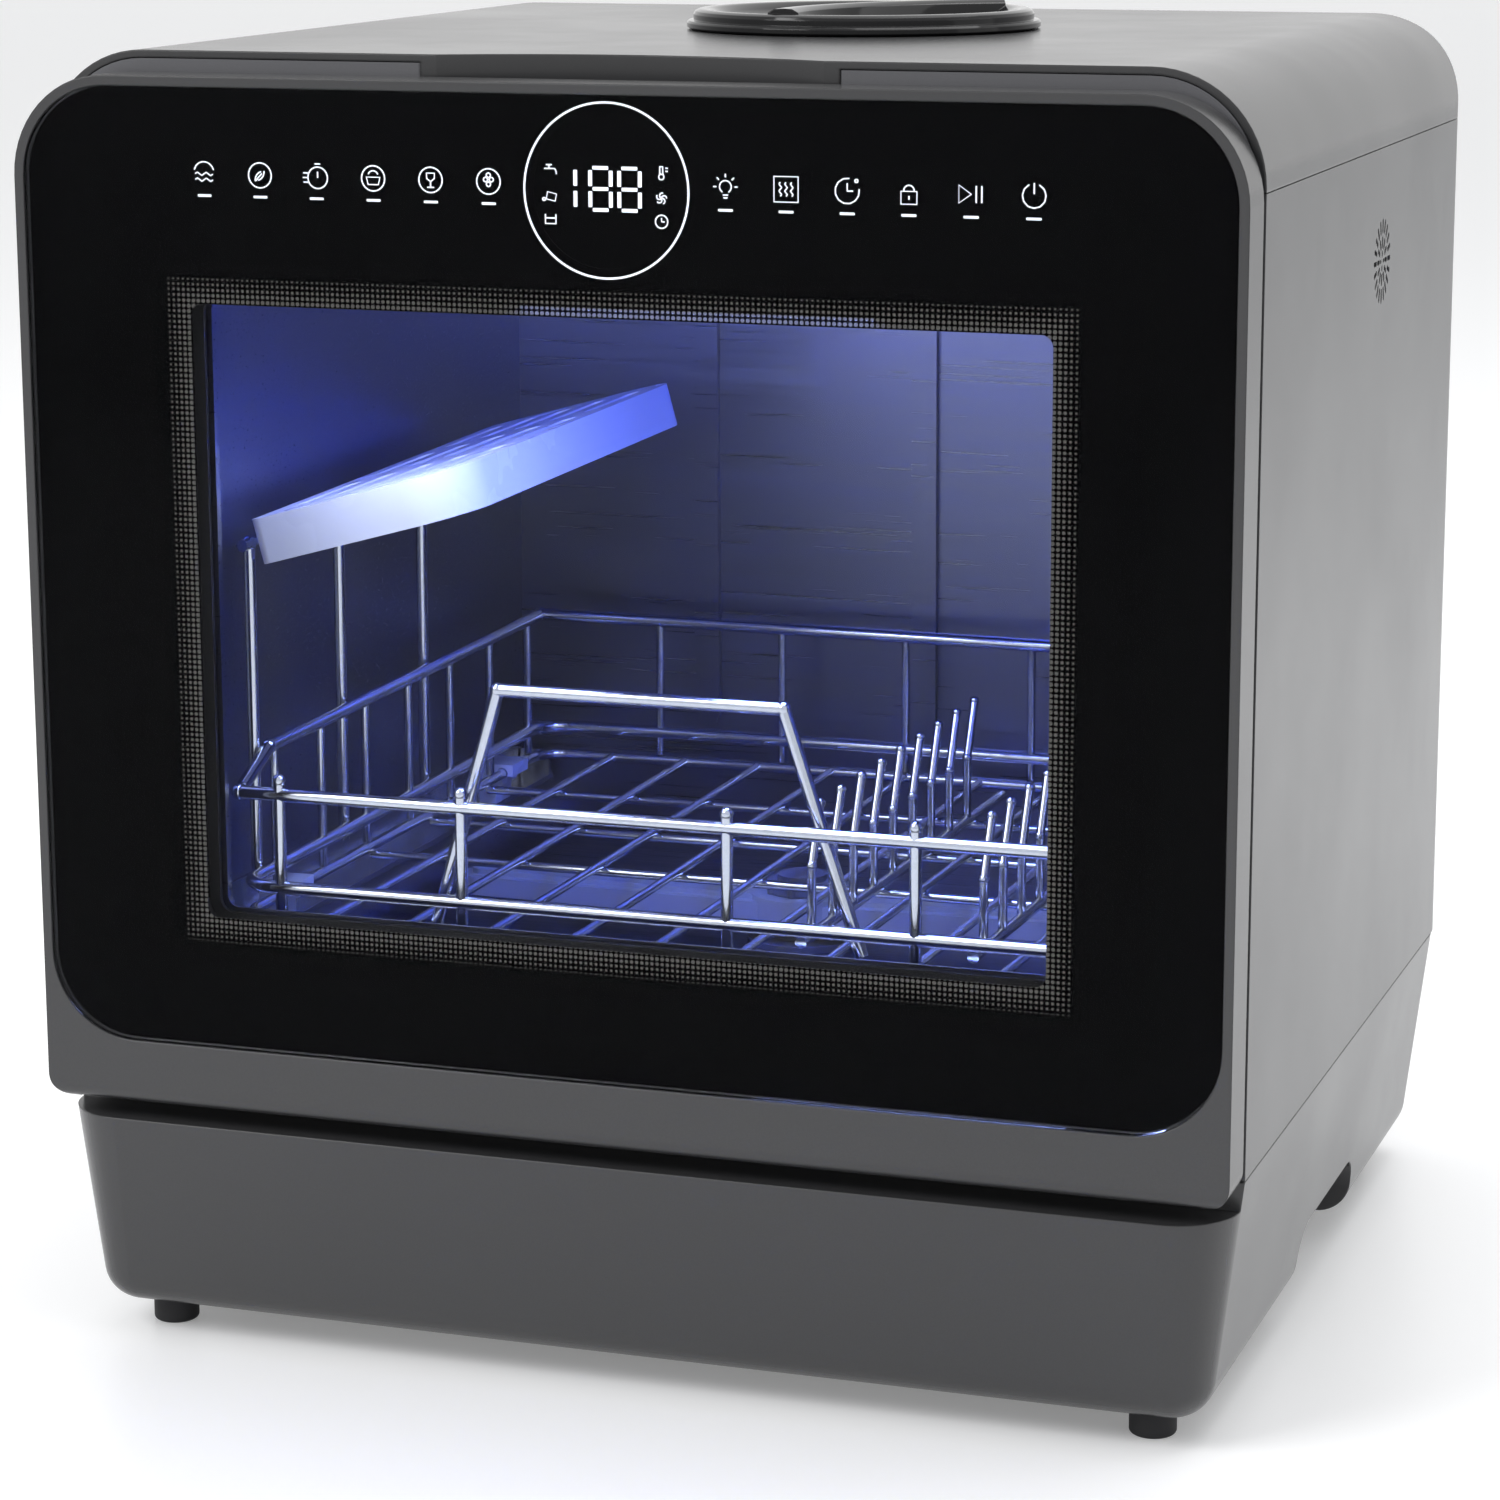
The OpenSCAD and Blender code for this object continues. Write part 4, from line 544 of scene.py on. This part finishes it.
class Shape:
    """A mesh in the making, shaped with Blender's own operators."""

    def __init__(self, name: str) -> None:
        """Start an empty mesh object at the origin.

        Args:
            name: The object's name.
        """
        bpy.ops.object.select_all(action="DESELECT")
        bpy.ops.mesh.primitive_cube_add(size=MM)
        self.obj: bpy.types.Object = bpy.context.object
        self.obj.name = name
        self.obj.data.name = name
        bpy.ops.object.mode_set(mode="EDIT")
        bpy.ops.mesh.select_mode(type="VERT")
        bpy.ops.mesh.select_all(action="SELECT")
        bpy.ops.mesh.delete(type="VERT")

    def chain(self, points: Sequence[Vector]) -> None:
        """Extrude one vertex from point to point.

        Args:
            points: The places that the chain runs through. Where the last is the first,
                the merge of doubles closes it.
        """
        bpy.ops.mesh.select_all(action="DESELECT")
        bpy.ops.mesh.primitive_circle_add(vertices=3, radius=0.1 * MM, location=points[0])
        bpy.ops.mesh.merge(type="CENTER")
        for start, end in zip(points, points[1:]):
            bpy.ops.mesh.extrude_vertices_move(TRANSFORM_OT_translate={"value": end - start})

    def draw(self, strokes: list[list[Point]], x: float, y: float, z: float) -> None:
        """Extrude strokes of a front view, given in millimetres about a place.

        Args:
            strokes: The strokes, each a list of points.
            x: The place across, in millimetres.
            y: The place from front to back, in metres.
            z: The place in height, in millimetres.
        """
        for stroke in strokes:
            self.chain([Vector(((x + dx) * MM, y, (z + dz) * MM)) for dx, dz in stroke])

    def press(self, y: float, share: float) -> None:
        """Press round strokes into a thin print.

        Args:
            y: The print's place from front to back.
            share: What is left of the strokes' thickness.
        """
        bpy.ops.mesh.select_all(action="SELECT")
        bpy.ops.transform.resize(value=(1, share, 1), center_override=(0, y, 0))

    def tidy(self, threshold: float = MERGE) -> None:
        """Merge doubles and turn the faces outwards.

        Args:
            threshold: The distance under which two vertices are one.
        """
        bpy.ops.mesh.select_all(action="SELECT")
        bpy.ops.mesh.remove_doubles(threshold=threshold)
        bpy.ops.mesh.normals_make_consistent(inside=False)

    def leave(self) -> None:
        """Go back to object mode."""
        if bpy.context.mode != "OBJECT":
            bpy.ops.object.mode_set(mode="OBJECT")

    def select(self, kind: str, test: Callable[[object], bool]) -> None:
        """Select edges or faces by a test in object coordinates.

        Args:
            kind: EDGE or FACE.
            test: Says whether one element is selected. An edge comes as its two end points
                and a face as the polygon.
        """
        bpy.ops.mesh.select_mode(type=kind)
        bpy.ops.mesh.select_all(action="DESELECT")
        self.leave()
        mesh = self.obj.data
        places = [v.co.copy() for v in mesh.vertices]
        if kind == "EDGE":
            for edge in mesh.edges:
                edge.select = test(tuple(places[i] for i in edge.vertices))
        else:
            for face in mesh.polygons:
                face.select = test(face)
        bpy.ops.object.mode_set(mode="EDIT")

    def tube(self, thickness: float) -> None:
        """Turn the chains of edges into round wires.

        Args:
            thickness: The wires' diameter.
        """
        self.leave()
        bpy.ops.object.convert(target="CURVE")
        curve = self.obj.data
        curve.bevel_depth = thickness / 2
        curve.bevel_resolution = 1
        curve.use_fill_caps = True
        bpy.ops.object.convert(target="MESH")
        bpy.ops.object.mode_set(mode="EDIT")

    def finish(
        self, body: str, slot: str, *replaced: str, smooth: float = 35.0
    ) -> bpy.types.Object:
        """Dress the piece and give it to the frame.

        Args:
            body: The CAD body that it rides on.
            slot: The record's material slot.
            replaced: The CAD nodes that it stands for.
            smooth: The angle in degrees under which edges are smooth.

        Returns:
            The finished object.
        """
        self.leave()
        bpy.ops.object.select_all(action="DESELECT")
        self.obj.select_set(True)
        bpy.context.view_layer.objects.active = self.obj
        bpy.ops.object.shade_smooth_by_angle(angle=math.radians(smooth))
        self.obj.data.materials.clear()
        self.obj.data.materials.append(FINISHES[slot].material())
        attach(self.obj, body)
        if replaced:
            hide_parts(*replaced)
        LOG.info("piece %s on %s: %d faces", self.obj.name, body, len(self.obj.data.polygons))
        return self.obj


def arc(
    cx: float, cz: float, radius: float, start: float, end: float, steps: int = 10
) -> list[Point]:
    """Return points along an arc in the front view.

    Args:
        cx: The middle across.
        cz: The middle in height.
        radius: The arc's radius.
        start: The first angle in degrees, from the right, anticlockwise.
        end: The last angle.
        steps: The number of pieces.

    Returns:
        The points, in the units of the radius.
    """
    turn = [math.radians(start + (end - start) * i / steps) for i in range(steps + 1)]
    return [(cx + radius * math.cos(a), cz + radius * math.sin(a)) for a in turn]


# ---------------------------------------------------------------- the object's own pieces


@dataclass
class DoorGlass:
    """The door's outer pane with its polished edge."""

    upper_r: float = 30.4 * MM
    lower_r: float = 30.0 * MM
    polish: float = 0.6 * MM
    corner_steps: int = 20
    polish_steps: int = 3

    def build(self) -> bpy.types.Object:
        """Model the pane from a block with bevelled corners and a polished rim.

        Returns:
            The pane.
        """
        low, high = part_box("door_glass")
        shape = Shape("door_pane")
        bpy.ops.mesh.primitive_cube_add(size=1.0, location=(low + high) / 2, scale=high - low)
        for level, radius in ((high.z, self.upper_r), (low.z, self.lower_r)):
            shape.select("EDGE", lambda ends, z=level: self.runs_back(ends, z))
            bpy.ops.mesh.bevel(offset=radius, segments=self.corner_steps, affect="EDGES")
        shape.select("FACE", lambda face: abs(face.normal.y) > 0.99)
        bpy.ops.mesh.region_to_loop()
        bpy.ops.mesh.bevel(offset=self.polish, segments=self.polish_steps, affect="EDGES")
        shape.tidy()
        return shape.finish("door", "black_glass", "door_glass")

    @staticmethod
    def runs_back(ends: tuple[Vector, Vector], level: float) -> bool:
        """Say whether an edge lies at a height and runs from front to back.

        Args:
            ends: The edge's end points.
            level: The height.

        Returns:
            True where it does both.
        """
        flat = all(abs(end.z - level) < 0.001 * MM for end in ends)
        return flat and abs(ends[0].y - ends[1].y) > 0.1 * MM


class Icon(Enum):
    """The twelve keys' pictograms, from left to right."""

    WAVE = "wave"
    LEAF = "leaf"
    QUICK = "quick"
    POT = "pot"
    GOBLET = "goblet"
    FRUIT = "fruit"
    BULB = "bulb"
    HEAT = "heat"
    DELAY = "delay"
    LOCK = "lock"
    PLAY = "play"
    POWER = "power"


def ring(radius: float, cx: float = 0.0, cz: float = 0.0, steps: int = 24) -> list[Point]:
    """Return a closed ring of points, as arc does."""
    return arc(cx, cz, radius, 0, 360, steps)


def icon_strokes(icon: Icon) -> list[list[Point]]:
    """Return a pictogram's strokes, about its own middle, in millimetres.

    Args:
        icon: The pictogram.

    Returns:
        A list of strokes, each a list of points.
    """
    wave = [(-3.2 + 0.8 * i, 0.55 * math.sin(i * math.pi / 2)) for i in range(9)]
    curl = [(0.45 * math.sin(i * math.pi / 2), -2.2 + 0.55 * i) for i in range(9)]
    rays = [math.radians(turn) for turn in (0, 45, 90, 135, 180)]
    drawings: dict[Icon, list[list[Point]]] = {
        Icon.WAVE: [
            *([(x, z + dz) for x, z in wave] for dz in (-1.9, 0.0)),
            arc(0, 0.4, 3.6, 15, 165),
        ],
        Icon.LEAF: [
            ring(4.1), arc(-1.4, 1.2, 2.9, -75, 5), arc(1.2, -1.6, 2.9, 105, 185),
            [(-1.7, -1.9), (0.7, 0.6)],
        ],
        Icon.QUICK: [
            ring(3.5, 0.5, -0.3), [(0.5, -0.3), (0.5, 1.7)], [(-0.5, 4.2), (1.5, 4.2)],
            [(-4.6, 1.2), (-3.0, 1.2)], [(-4.8, -0.3), (-3.4, -0.3)], [(-4.6, -1.8), (-3.0, -1.8)],
        ],
        Icon.POT: [
            ring(4.1), [(-2.4, 0.4), (2.4, 0.4), (1.8, -2.0), (-1.8, -2.0), (-2.4, 0.4)],
            arc(0, 0.7, 1.8, 20, 160, 6),
        ],
        Icon.GOBLET: [
            ring(4.1),
            [(-1.4, 2.2), (-1.3, 0.4), (0, -0.5), (1.3, 0.4), (1.4, 2.2), (-1.4, 2.2)],
            [(0, -0.5), (0, -2.4)], [(-1.2, -2.4), (1.2, -2.4)],
        ],
        Icon.FRUIT: [
            ring(4.1), ring(0.75, -1.0, 0.6, 8), ring(0.75, 1.0, 0.6, 8), ring(0.75, 0, -0.9, 8),
            ring(0.75, 0, 2.0, 8),
        ],
        Icon.BULB: [
            arc(0, 0.3, 2.0, -60, 240), [(-0.9, -2.3), (0.9, -2.3)], [(-0.7, -3.2), (0.7, -3.2)],
            *([(r * math.cos(a), 0.3 + r * math.sin(a)) for r in (3.0, 4.1)] for a in rays),
        ],
        Icon.HEAT: [
            [(-4, -4), (4, -4), (4, 4), (-4, 4), (-4, -4)],
            *([(x + dx, z) for x, z in curl] for dx in (-1.9, 0.0, 1.9)),
        ],
        Icon.DELAY: [
            arc(0, 0, 4.0, 80, 370), [(0, 2.4), (0, 0), (1.9, 0)], ring(0.5, 3.0, 3.2, 8),
        ],
        Icon.LOCK: [
            [(-2.6, -3.6), (2.6, -3.6), (2.6, 0.4), (-2.6, 0.4), (-2.6, -3.6)],
            arc(0, 0.6, 1.7, 0, 180) + [(-1.7, 0.4)], [(0, -2.2), (0, -1.0)],
        ],
        Icon.PLAY: [
            [(-4, -2.8), (-4, 2.8), (0, 0), (-4, -2.8)], [(1.6, -2.6), (1.6, 2.6)],
            [(3.4, -2.6), (3.4, 2.6)],
        ],
        Icon.POWER: [arc(0, 0, 3.8, 115, 425), [(0, 0.6), (0, 4.0)]],
    }
    return drawings[icon]


@dataclass
class KeyLegends:
    """The lit key pictograms, their bars and the display ring, in millimetres."""

    first: float = 40.4
    step: float = 20.2
    per_side: int = 6
    key_z: float = 410.0
    line: float = 0.5
    bar_drop: float = 7.1
    bar_half: float = 2.4
    bar_line: float = 0.9
    ring_z: float = 408.0
    ring_r: float = 28.0
    ring_line: float = 0.75
    ring_steps: int = 96
    thickness: float = 0.2

    def build(self) -> list[bpy.types.Object]:
        """Draw the twelve pictograms with their bars, and the ring.

        Returns:
            The legend objects.
        """
        low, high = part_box("key_symbols")
        depth = (low.y + high.y) / 2
        return [self.icons(depth), self.bars(depth), self.display_ring(depth)]

    def print_strokes(self, shape: Shape, depth: float, line: float) -> None:
        """Turn a drawing's strokes into a thin print.

        Args:
            shape: The drawing.
            depth: The print's place from front to back.
            line: The strokes' width.
        """
        shape.tube(line * MM)
        shape.press(depth, self.thickness * MM / (line * MM))

    def icons(self, depth: float) -> bpy.types.Object:
        """Draw the pictograms."""
        shape = Shape("key_pictograms")
        for place, icon in enumerate(Icon):
            left = place < self.per_side
            side, count = (-1, self.per_side - 1 - place) if left else (1, place - self.per_side)
            middle = side * (self.first + count * self.step)
            shape.draw(icon_strokes(icon), middle, depth, self.key_z)
        shape.tidy()
        self.print_strokes(shape, depth, self.line)
        shape.tidy(MERGE / 4)
        return shape.finish("door", "mark_white", "key_symbols", smooth=80)

    def bars(self, depth: float) -> bpy.types.Object:
        """Draw a short bar under each key, in place of words."""
        shape = Shape("key_bars")
        bar = [[(-self.bar_half, 0), (self.bar_half, 0)]]
        for side in (-1, 1):
            for count in range(self.per_side):
                middle = side * (self.first + count * self.step)
                shape.draw(bar, middle, depth, self.key_z - self.bar_drop)
        self.print_strokes(shape, depth, self.bar_line)
        return shape.finish("door", "mark_white", smooth=80)

    def display_ring(self, depth: float) -> bpy.types.Object:
        """Draw the ring round the display."""
        shape = Shape("display_ring")
        shape.draw([ring(self.ring_r, steps=self.ring_steps)], 0, depth, self.ring_z)
        shape.tidy()
        self.print_strokes(shape, depth, self.ring_line)
        return shape.finish("door", "mark_white", smooth=80)


@dataclass
class DisplayMarks:
    """The lit digits and the six small marks beside them, in millimetres."""

    middle_z: float = 408.5
    digit_h: float = 13.4
    digit_w: float = 7.0
    digit_gap: float = 0.85
    digit_line: float = 1.3
    digit_share: float = 0.18
    places: tuple[float, float, float] = (-14.2, -2.1, 7.8)
    mark_line: float = 0.5
    mark_share: float = 0.4
    left_x: float = -19.1
    right_x: float = 18.6
    mark_rows: tuple[float, float, float] = (5.5, -2.5, -9.9)
    blade_turn: float = 1.2566

    def build(self) -> list[bpy.types.Object]:
        """Draw the three digits and the marks.

        Returns:
            The digit and mark objects.
        """
        low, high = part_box("digit_segments")
        depth = (low.y + high.y) / 2
        return [self.digits(depth), self.marks(depth)]

    def digits(self, depth: float) -> bpy.types.Object:
        """Draw one and two eights as seven-segment digits."""
        shape = Shape("display_digits")
        half_w, half_h, gap = self.digit_w / 2, self.digit_h / 2, self.digit_gap
        for count, place in enumerate(self.places):
            strokes = []
            for side in ((1,) if count == 0 else (-1, 1)):
                x = place + side * half_w
                strokes += [[(x, s * gap), (x, s * (half_h - gap))] for s in (-1, 1)]
            if count > 0:
                ends = place - half_w + gap, place + half_w - gap
                strokes += [[(x, z) for x in ends] for z in (-half_h, 0, half_h)]
            shape.draw(strokes, 0, depth, self.middle_z)
        shape.tube(self.digit_line * MM)
        shape.press(depth, self.digit_share)
        return shape.finish("door", "mark_white", "digit_segments", smooth=80)

    def marks(self, depth: float) -> bpy.types.Object:
        """Draw tap, container, level, thermometer, fan and clock."""
        blade = arc(0.9, 0, 0.9, 0, 180, 5)
        fan = []
        for turn in range(5):
            c, s = math.cos(turn * self.blade_turn), math.sin(turn * self.blade_turn)
            fan.append([(x * c - z * s, x * s + z * c) for x, z in blade])
        top, middle, low = self.mark_rows
        drawings = {
            (self.left_x, top): [
                [(-2.2, 0.6), (1.4, 0.6), (1.9, -0.4), (1.9, -1.2)], [(-0.6, 0.6), (-0.6, 1.8)],
                [(-1.6, 1.8), (0.4, 1.8)],
            ],
            (self.left_x, middle): [
                [(-1.2, 1.2), (1.9, 0.5), (1.4, -1.8), (-1.6, -1.1), (-1.2, 1.2)],
                ring(0.5, -2.4, -1.2, 8),
            ],
            (self.left_x, low): [
                [(-2.0, 1.4), (-2.0, -1.6), (1.6, -1.6), (1.6, 1.4)], [(-2.0, 0.2), (1.6, 0.2)],
            ],
            (self.right_x, top): [
                ring(0.9, 0, -1.2, 10), [(-0.5, -0.4), (-0.5, 2.0), (0.5, 2.0), (0.5, -0.4)],
                [(1.4, 1.6), (2.2, 1.6)], [(1.4, 0.6), (2.2, 0.6)],
            ],
            (self.right_x, middle): fan,
            (self.right_x, low): [ring(2.1, steps=16), [(0, 1.2), (0, 0), (1.0, 0)]],
        }
        shape = Shape("display_marks")
        for (x, z), strokes in drawings.items():
            shape.draw(strokes, x, depth, self.middle_z + z)
        shape.tidy()
        shape.tube(self.mark_line * MM)
        shape.press(depth, self.mark_share)
        return shape.finish("door", "mark_white", smooth=80)


@dataclass
class FillerLid:
    """The round filler lid with two rims, a dished recess and a curved grip, in millimetres."""

    height: float = 9.0
    steps: int = 96
    grip_r: float = 97.5
    pivot_r: float = 98.0
    grip_turn: float = 60.0
    grip_half: float = 33.5
    grip_steps: int = 24
    profile: list[Point] = field(default_factory=lambda: [
        (0, -3), (50, -3), (50, 0), (63.2, 0), (64, 0.7), (64, 2.2), (63.4, 2.9), (61.6, 3.1),
        (61.6, 5.2), (61.0, 6.2), (59.6, 6.9), (57, 7.0), (54.6, 6.6), (52, 5.0), (48, 3.2),
        (40, 2.0), (22, 1.3), (0, 1.1),
    ])
    grip_section: list[Point] = field(default_factory=lambda: [
        (-6.4, 0.4), (-6.2, 5.4), (-5.4, 7.6), (-3.2, 8.8), (0, 9.0), (3.2, 8.8), (5.4, 7.6),
        (6.2, 5.4), (6.4, 0.4), (-6.4, 0.4),
    ])

    def build(self) -> bpy.types.Object:
        """Spin the lid's section and lay the grip across the recess.

        Returns:
            The lid.
        """
        low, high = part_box("fill_lid")
        centre = Vector(((low.x + high.x) / 2, (low.y + high.y) / 2, high.z - self.height * MM))
        shape = Shape("filler_lid")
        shape.chain([centre + Vector((r * MM, 0, z * MM)) for r, z in self.profile])
        bpy.ops.mesh.select_all(action="SELECT")
        bpy.ops.mesh.spin(steps=self.steps, angle=math.tau, center=centre, axis=(0, 0, 1))
        shape.tidy()
        self.grip(shape, centre)
        shape.tidy()
        return shape.finish("lid", "lid_plastic", "fill_lid", smooth=28)

    def grip(self, shape: Shape, centre: Vector) -> None:
        """Sweep a rounded bar along an arc across the recess, in the lid's mesh.

        Args:
            shape: The lid's mesh.
            centre: The lid's middle at its seat.
        """
        half = math.radians(self.grip_half)
        turn = math.radians(self.grip_turn)
        pivot = centre + Vector((math.sin(turn), -math.cos(turn), 0)) * self.pivot_r * MM
        start = turn + math.pi / 2 - half
        out = Vector((math.cos(start), math.sin(start), 0))
        shape.chain([
            pivot + out * (self.grip_r + x) * MM + Vector((0, 0, z * MM))
            for x, z in self.grip_section
        ])
        bpy.ops.mesh.select_linked()
        bpy.ops.mesh.remove_doubles(threshold=MERGE)
        bpy.ops.mesh.select_linked()
        bpy.ops.mesh.edge_face_add()
        bpy.ops.mesh.spin(steps=self.grip_steps, angle=2 * half, center=pivot, axis=(0, 0, -1))


# ---------------------------------------------------------------- light, floor and camera


@dataclass
class Studio:
    """A white floor, soft studio light and the blue lamp in the tub."""

    floor_size: float = 30.0
    floor_colour: Colour = (0.86, 0.86, 0.87)
    floor_glow: float = 0.22
    world_colour: Colour = (0.97, 0.985, 1.0)
    world_light: float = 0.5

    def build(self) -> None:
        """Make the floor, the world and the lamps."""
        self.floor()
        self.world()
        self.area("key_light", (-1.6, -1.9, 2.3), 1.6, 55.0, (0, 0, 0.22))
        self.area("top_light", (0.4, 0.5, 2.6), 2.2, 42.0, (0, 0, 0.3))
        self.area("side_light", (2.4, 0.3, 1.3), 1.6, 9.0, (0.1, 0, 0.25))
        self.tub_light()

    def floor(self) -> None:
        """Lay the white floor, which keeps the object's shadow."""
        bpy.ops.object.select_all(action="DESELECT")
        bpy.ops.mesh.primitive_plane_add(size=self.floor_size)
        floor = bpy.context.object
        floor.name = "floor"
        made = bpy.data.materials.new("floor_white")
        made.use_nodes = True
        recipe = Recipe(made.node_tree)
        shader = recipe.add("BsdfPrincipled")
        shader.inputs["Base Color"].default_value = (*self.floor_colour, 1.0)
        shader.inputs["Roughness"].default_value = 0.35
        shader.inputs["Specular IOR Level"].default_value = 0.35
        shader.inputs["Emission Color"].default_value = (1.0, 1.0, 1.0, 1.0)
        seen = self.seen_rays(recipe)
        glow = recipe.math("MULTIPLY", seen, self.floor_glow)
        recipe.join(glow, shader.inputs["Emission Strength"])
        recipe.join(shader.outputs[0], recipe.add("OutputMaterial").inputs["Surface"])
        floor.data.materials.append(made)

    def seen_rays(self, recipe: Recipe) -> bpy.types.NodeSocket:
        """Return one for rays that are seen, straight on, through glass or in a reflection.

        Args:
            recipe: The tree's builder.

        Returns:
            The mask's socket.
        """
        path = recipe.add("LightPath")
        straight, through = path.outputs["Is Camera Ray"], path.outputs["Is Transmission Ray"]
        seen = recipe.math("MAXIMUM", straight, through)
        return recipe.math("MAXIMUM", seen, path.outputs["Is Glossy Ray"])

    def world(self) -> None:
        """Light the scene evenly and show white behind it."""
        world = bpy.data.worlds.new("studio")
        world.use_nodes = True
        recipe = Recipe(world.node_tree)
        seen = self.seen_rays(recipe)
        back = recipe.add("Background")
        back.inputs["Color"].default_value = (1.0, 1.0, 1.0, 1.0)
        back.inputs["Strength"].default_value = 1.0
        light = recipe.add("Background")
        light.inputs["Color"].default_value = (*self.world_colour, 1.0)
        light.inputs["Strength"].default_value = self.world_light
        blend = recipe.add("MixShader")
        recipe.join(seen, blend.inputs[0])
        recipe.join(light.outputs[0], blend.inputs[1])
        recipe.join(back.outputs[0], blend.inputs[2])
        recipe.join(blend.outputs[0], recipe.add("OutputWorld").inputs["Surface"])
        bpy.context.scene.world = world

    def area(
        self, name: str, place: Place, size: float, power: float, aim: Place,
        colour: Colour = (1.0, 1.0, 1.0),
    ) -> None:
        """Hang a square soft light.

        Args:
            name: The light's name.
            place: Where it hangs.
            size: Its side.
            power: Its power in watts.
            aim: The point that it faces.
            colour: Its light's colour.
        """
        lamp = bpy.data.lights.new(name, "AREA")
        lamp.size = size
        lamp.energy = power
        lamp.color = colour
        hung = bpy.data.objects.new(name, lamp)
        bpy.context.collection.objects.link(hung)
        hung.location = place
        ahead = Vector(aim) - Vector(place)
        hung.rotation_euler = ahead.to_track_quat("-Z", "Y").to_euler()

    def tub_light(self) -> None:
        """Shine blue light down from the lamp in the ceiling, and pale light on shelf and rack."""
        low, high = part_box("lamp_lens")
        x, y, z = (low.x + high.x) / 2, (low.y + high.y) / 2, low.z - 2 * MM
        rack_x, rack_y = 0.03, y - 0.065
        under = (x - 0.03, y + 0.03, 0.1)
        self.area("tub_lamp", (x, y, z), 0.03, 1.4, under, (0.04, 0.1, 1.0))
        self.area(
            "shelf_glow", (-0.1, y - 0.07, 0.35), 0.06, 0.16, (-0.11, 0.02, 0.24), (0.5, 0.58, 1.0)
        )
        self.area(
            "rack_glow", (rack_x, rack_y, 0.37), 0.12, 0.55, (rack_x, rack_y, 0.1), (0.3, 0.4, 1.0)
        )


@dataclass
class PhotoCamera:
    """The camera, where the photograph was taken from."""

    lens: float = 105.0
    sensor: float = 36.0
    yaw: float = 18.91
    pitch: float = 12.27
    roll: float = -0.18
    across: float = 0.4976
    ahead: float = 1.3093
    height: float = 0.5303

    def build(self) -> None:
        """Place the camera by its distance from the door's glass."""
        low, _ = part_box("door_glass")
        data = bpy.data.cameras.new("photo_camera")
        data.lens = self.lens
        data.sensor_width = self.sensor
        camera = bpy.data.objects.new("photo_camera", data)
        bpy.context.collection.objects.link(camera)
        yaw, pitch, roll = (math.radians(a) for a in (self.yaw, self.pitch, self.roll))
        level = Vector((-math.sin(yaw), math.cos(yaw), 0))
        ahead = level * math.cos(pitch) - Vector((0, 0, math.sin(pitch)))
        right = Vector((math.cos(yaw), math.sin(yaw), 0))
        up = right.cross(ahead)
        side = math.cos(roll) * right + math.sin(roll) * up
        top = -math.sin(roll) * right + math.cos(roll) * up
        turn = Matrix((side, top, -ahead)).transposed().to_4x4()
        place = Matrix.Translation((self.across, low.y - self.ahead, self.height))
        camera.matrix_world = place @ turn
        bpy.context.scene.camera = camera


def dress_nodes(nodes: dict[str, bpy.types.Object]) -> None:
    """Give each CAD node the finish of its material slot.

    Args:
        nodes: The CAD nodes by name.
    """
    for name, node in nodes.items():
        for index, slot in enumerate(node.material_slots):
            finish = FINISHES.get(slot.material.name.split(".")[0])
            if finish is None:
                LOG.warning("no finish for %s of %s", slot.material.name, name)
                continue
            node.material_slots[index].material = finish.material()
    LOG.info("dressed %d CAD nodes", len(nodes))


def main() -> None:
    """Load the frame, build every piece, and set the stage."""
    logging.basicConfig(level=logging.INFO, format="%(name)s: %(message)s")
    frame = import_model()
    bpy.context.scene.view_settings.view_transform = "Standard"
    dress_nodes(frame["nodes"])
    PhotoCamera().build()
    for part in (DoorGlass(), KeyLegends(), DisplayMarks(), FillerLid()):
        part.build()
    Studio().build()


if __name__ == "__main__":
    main()
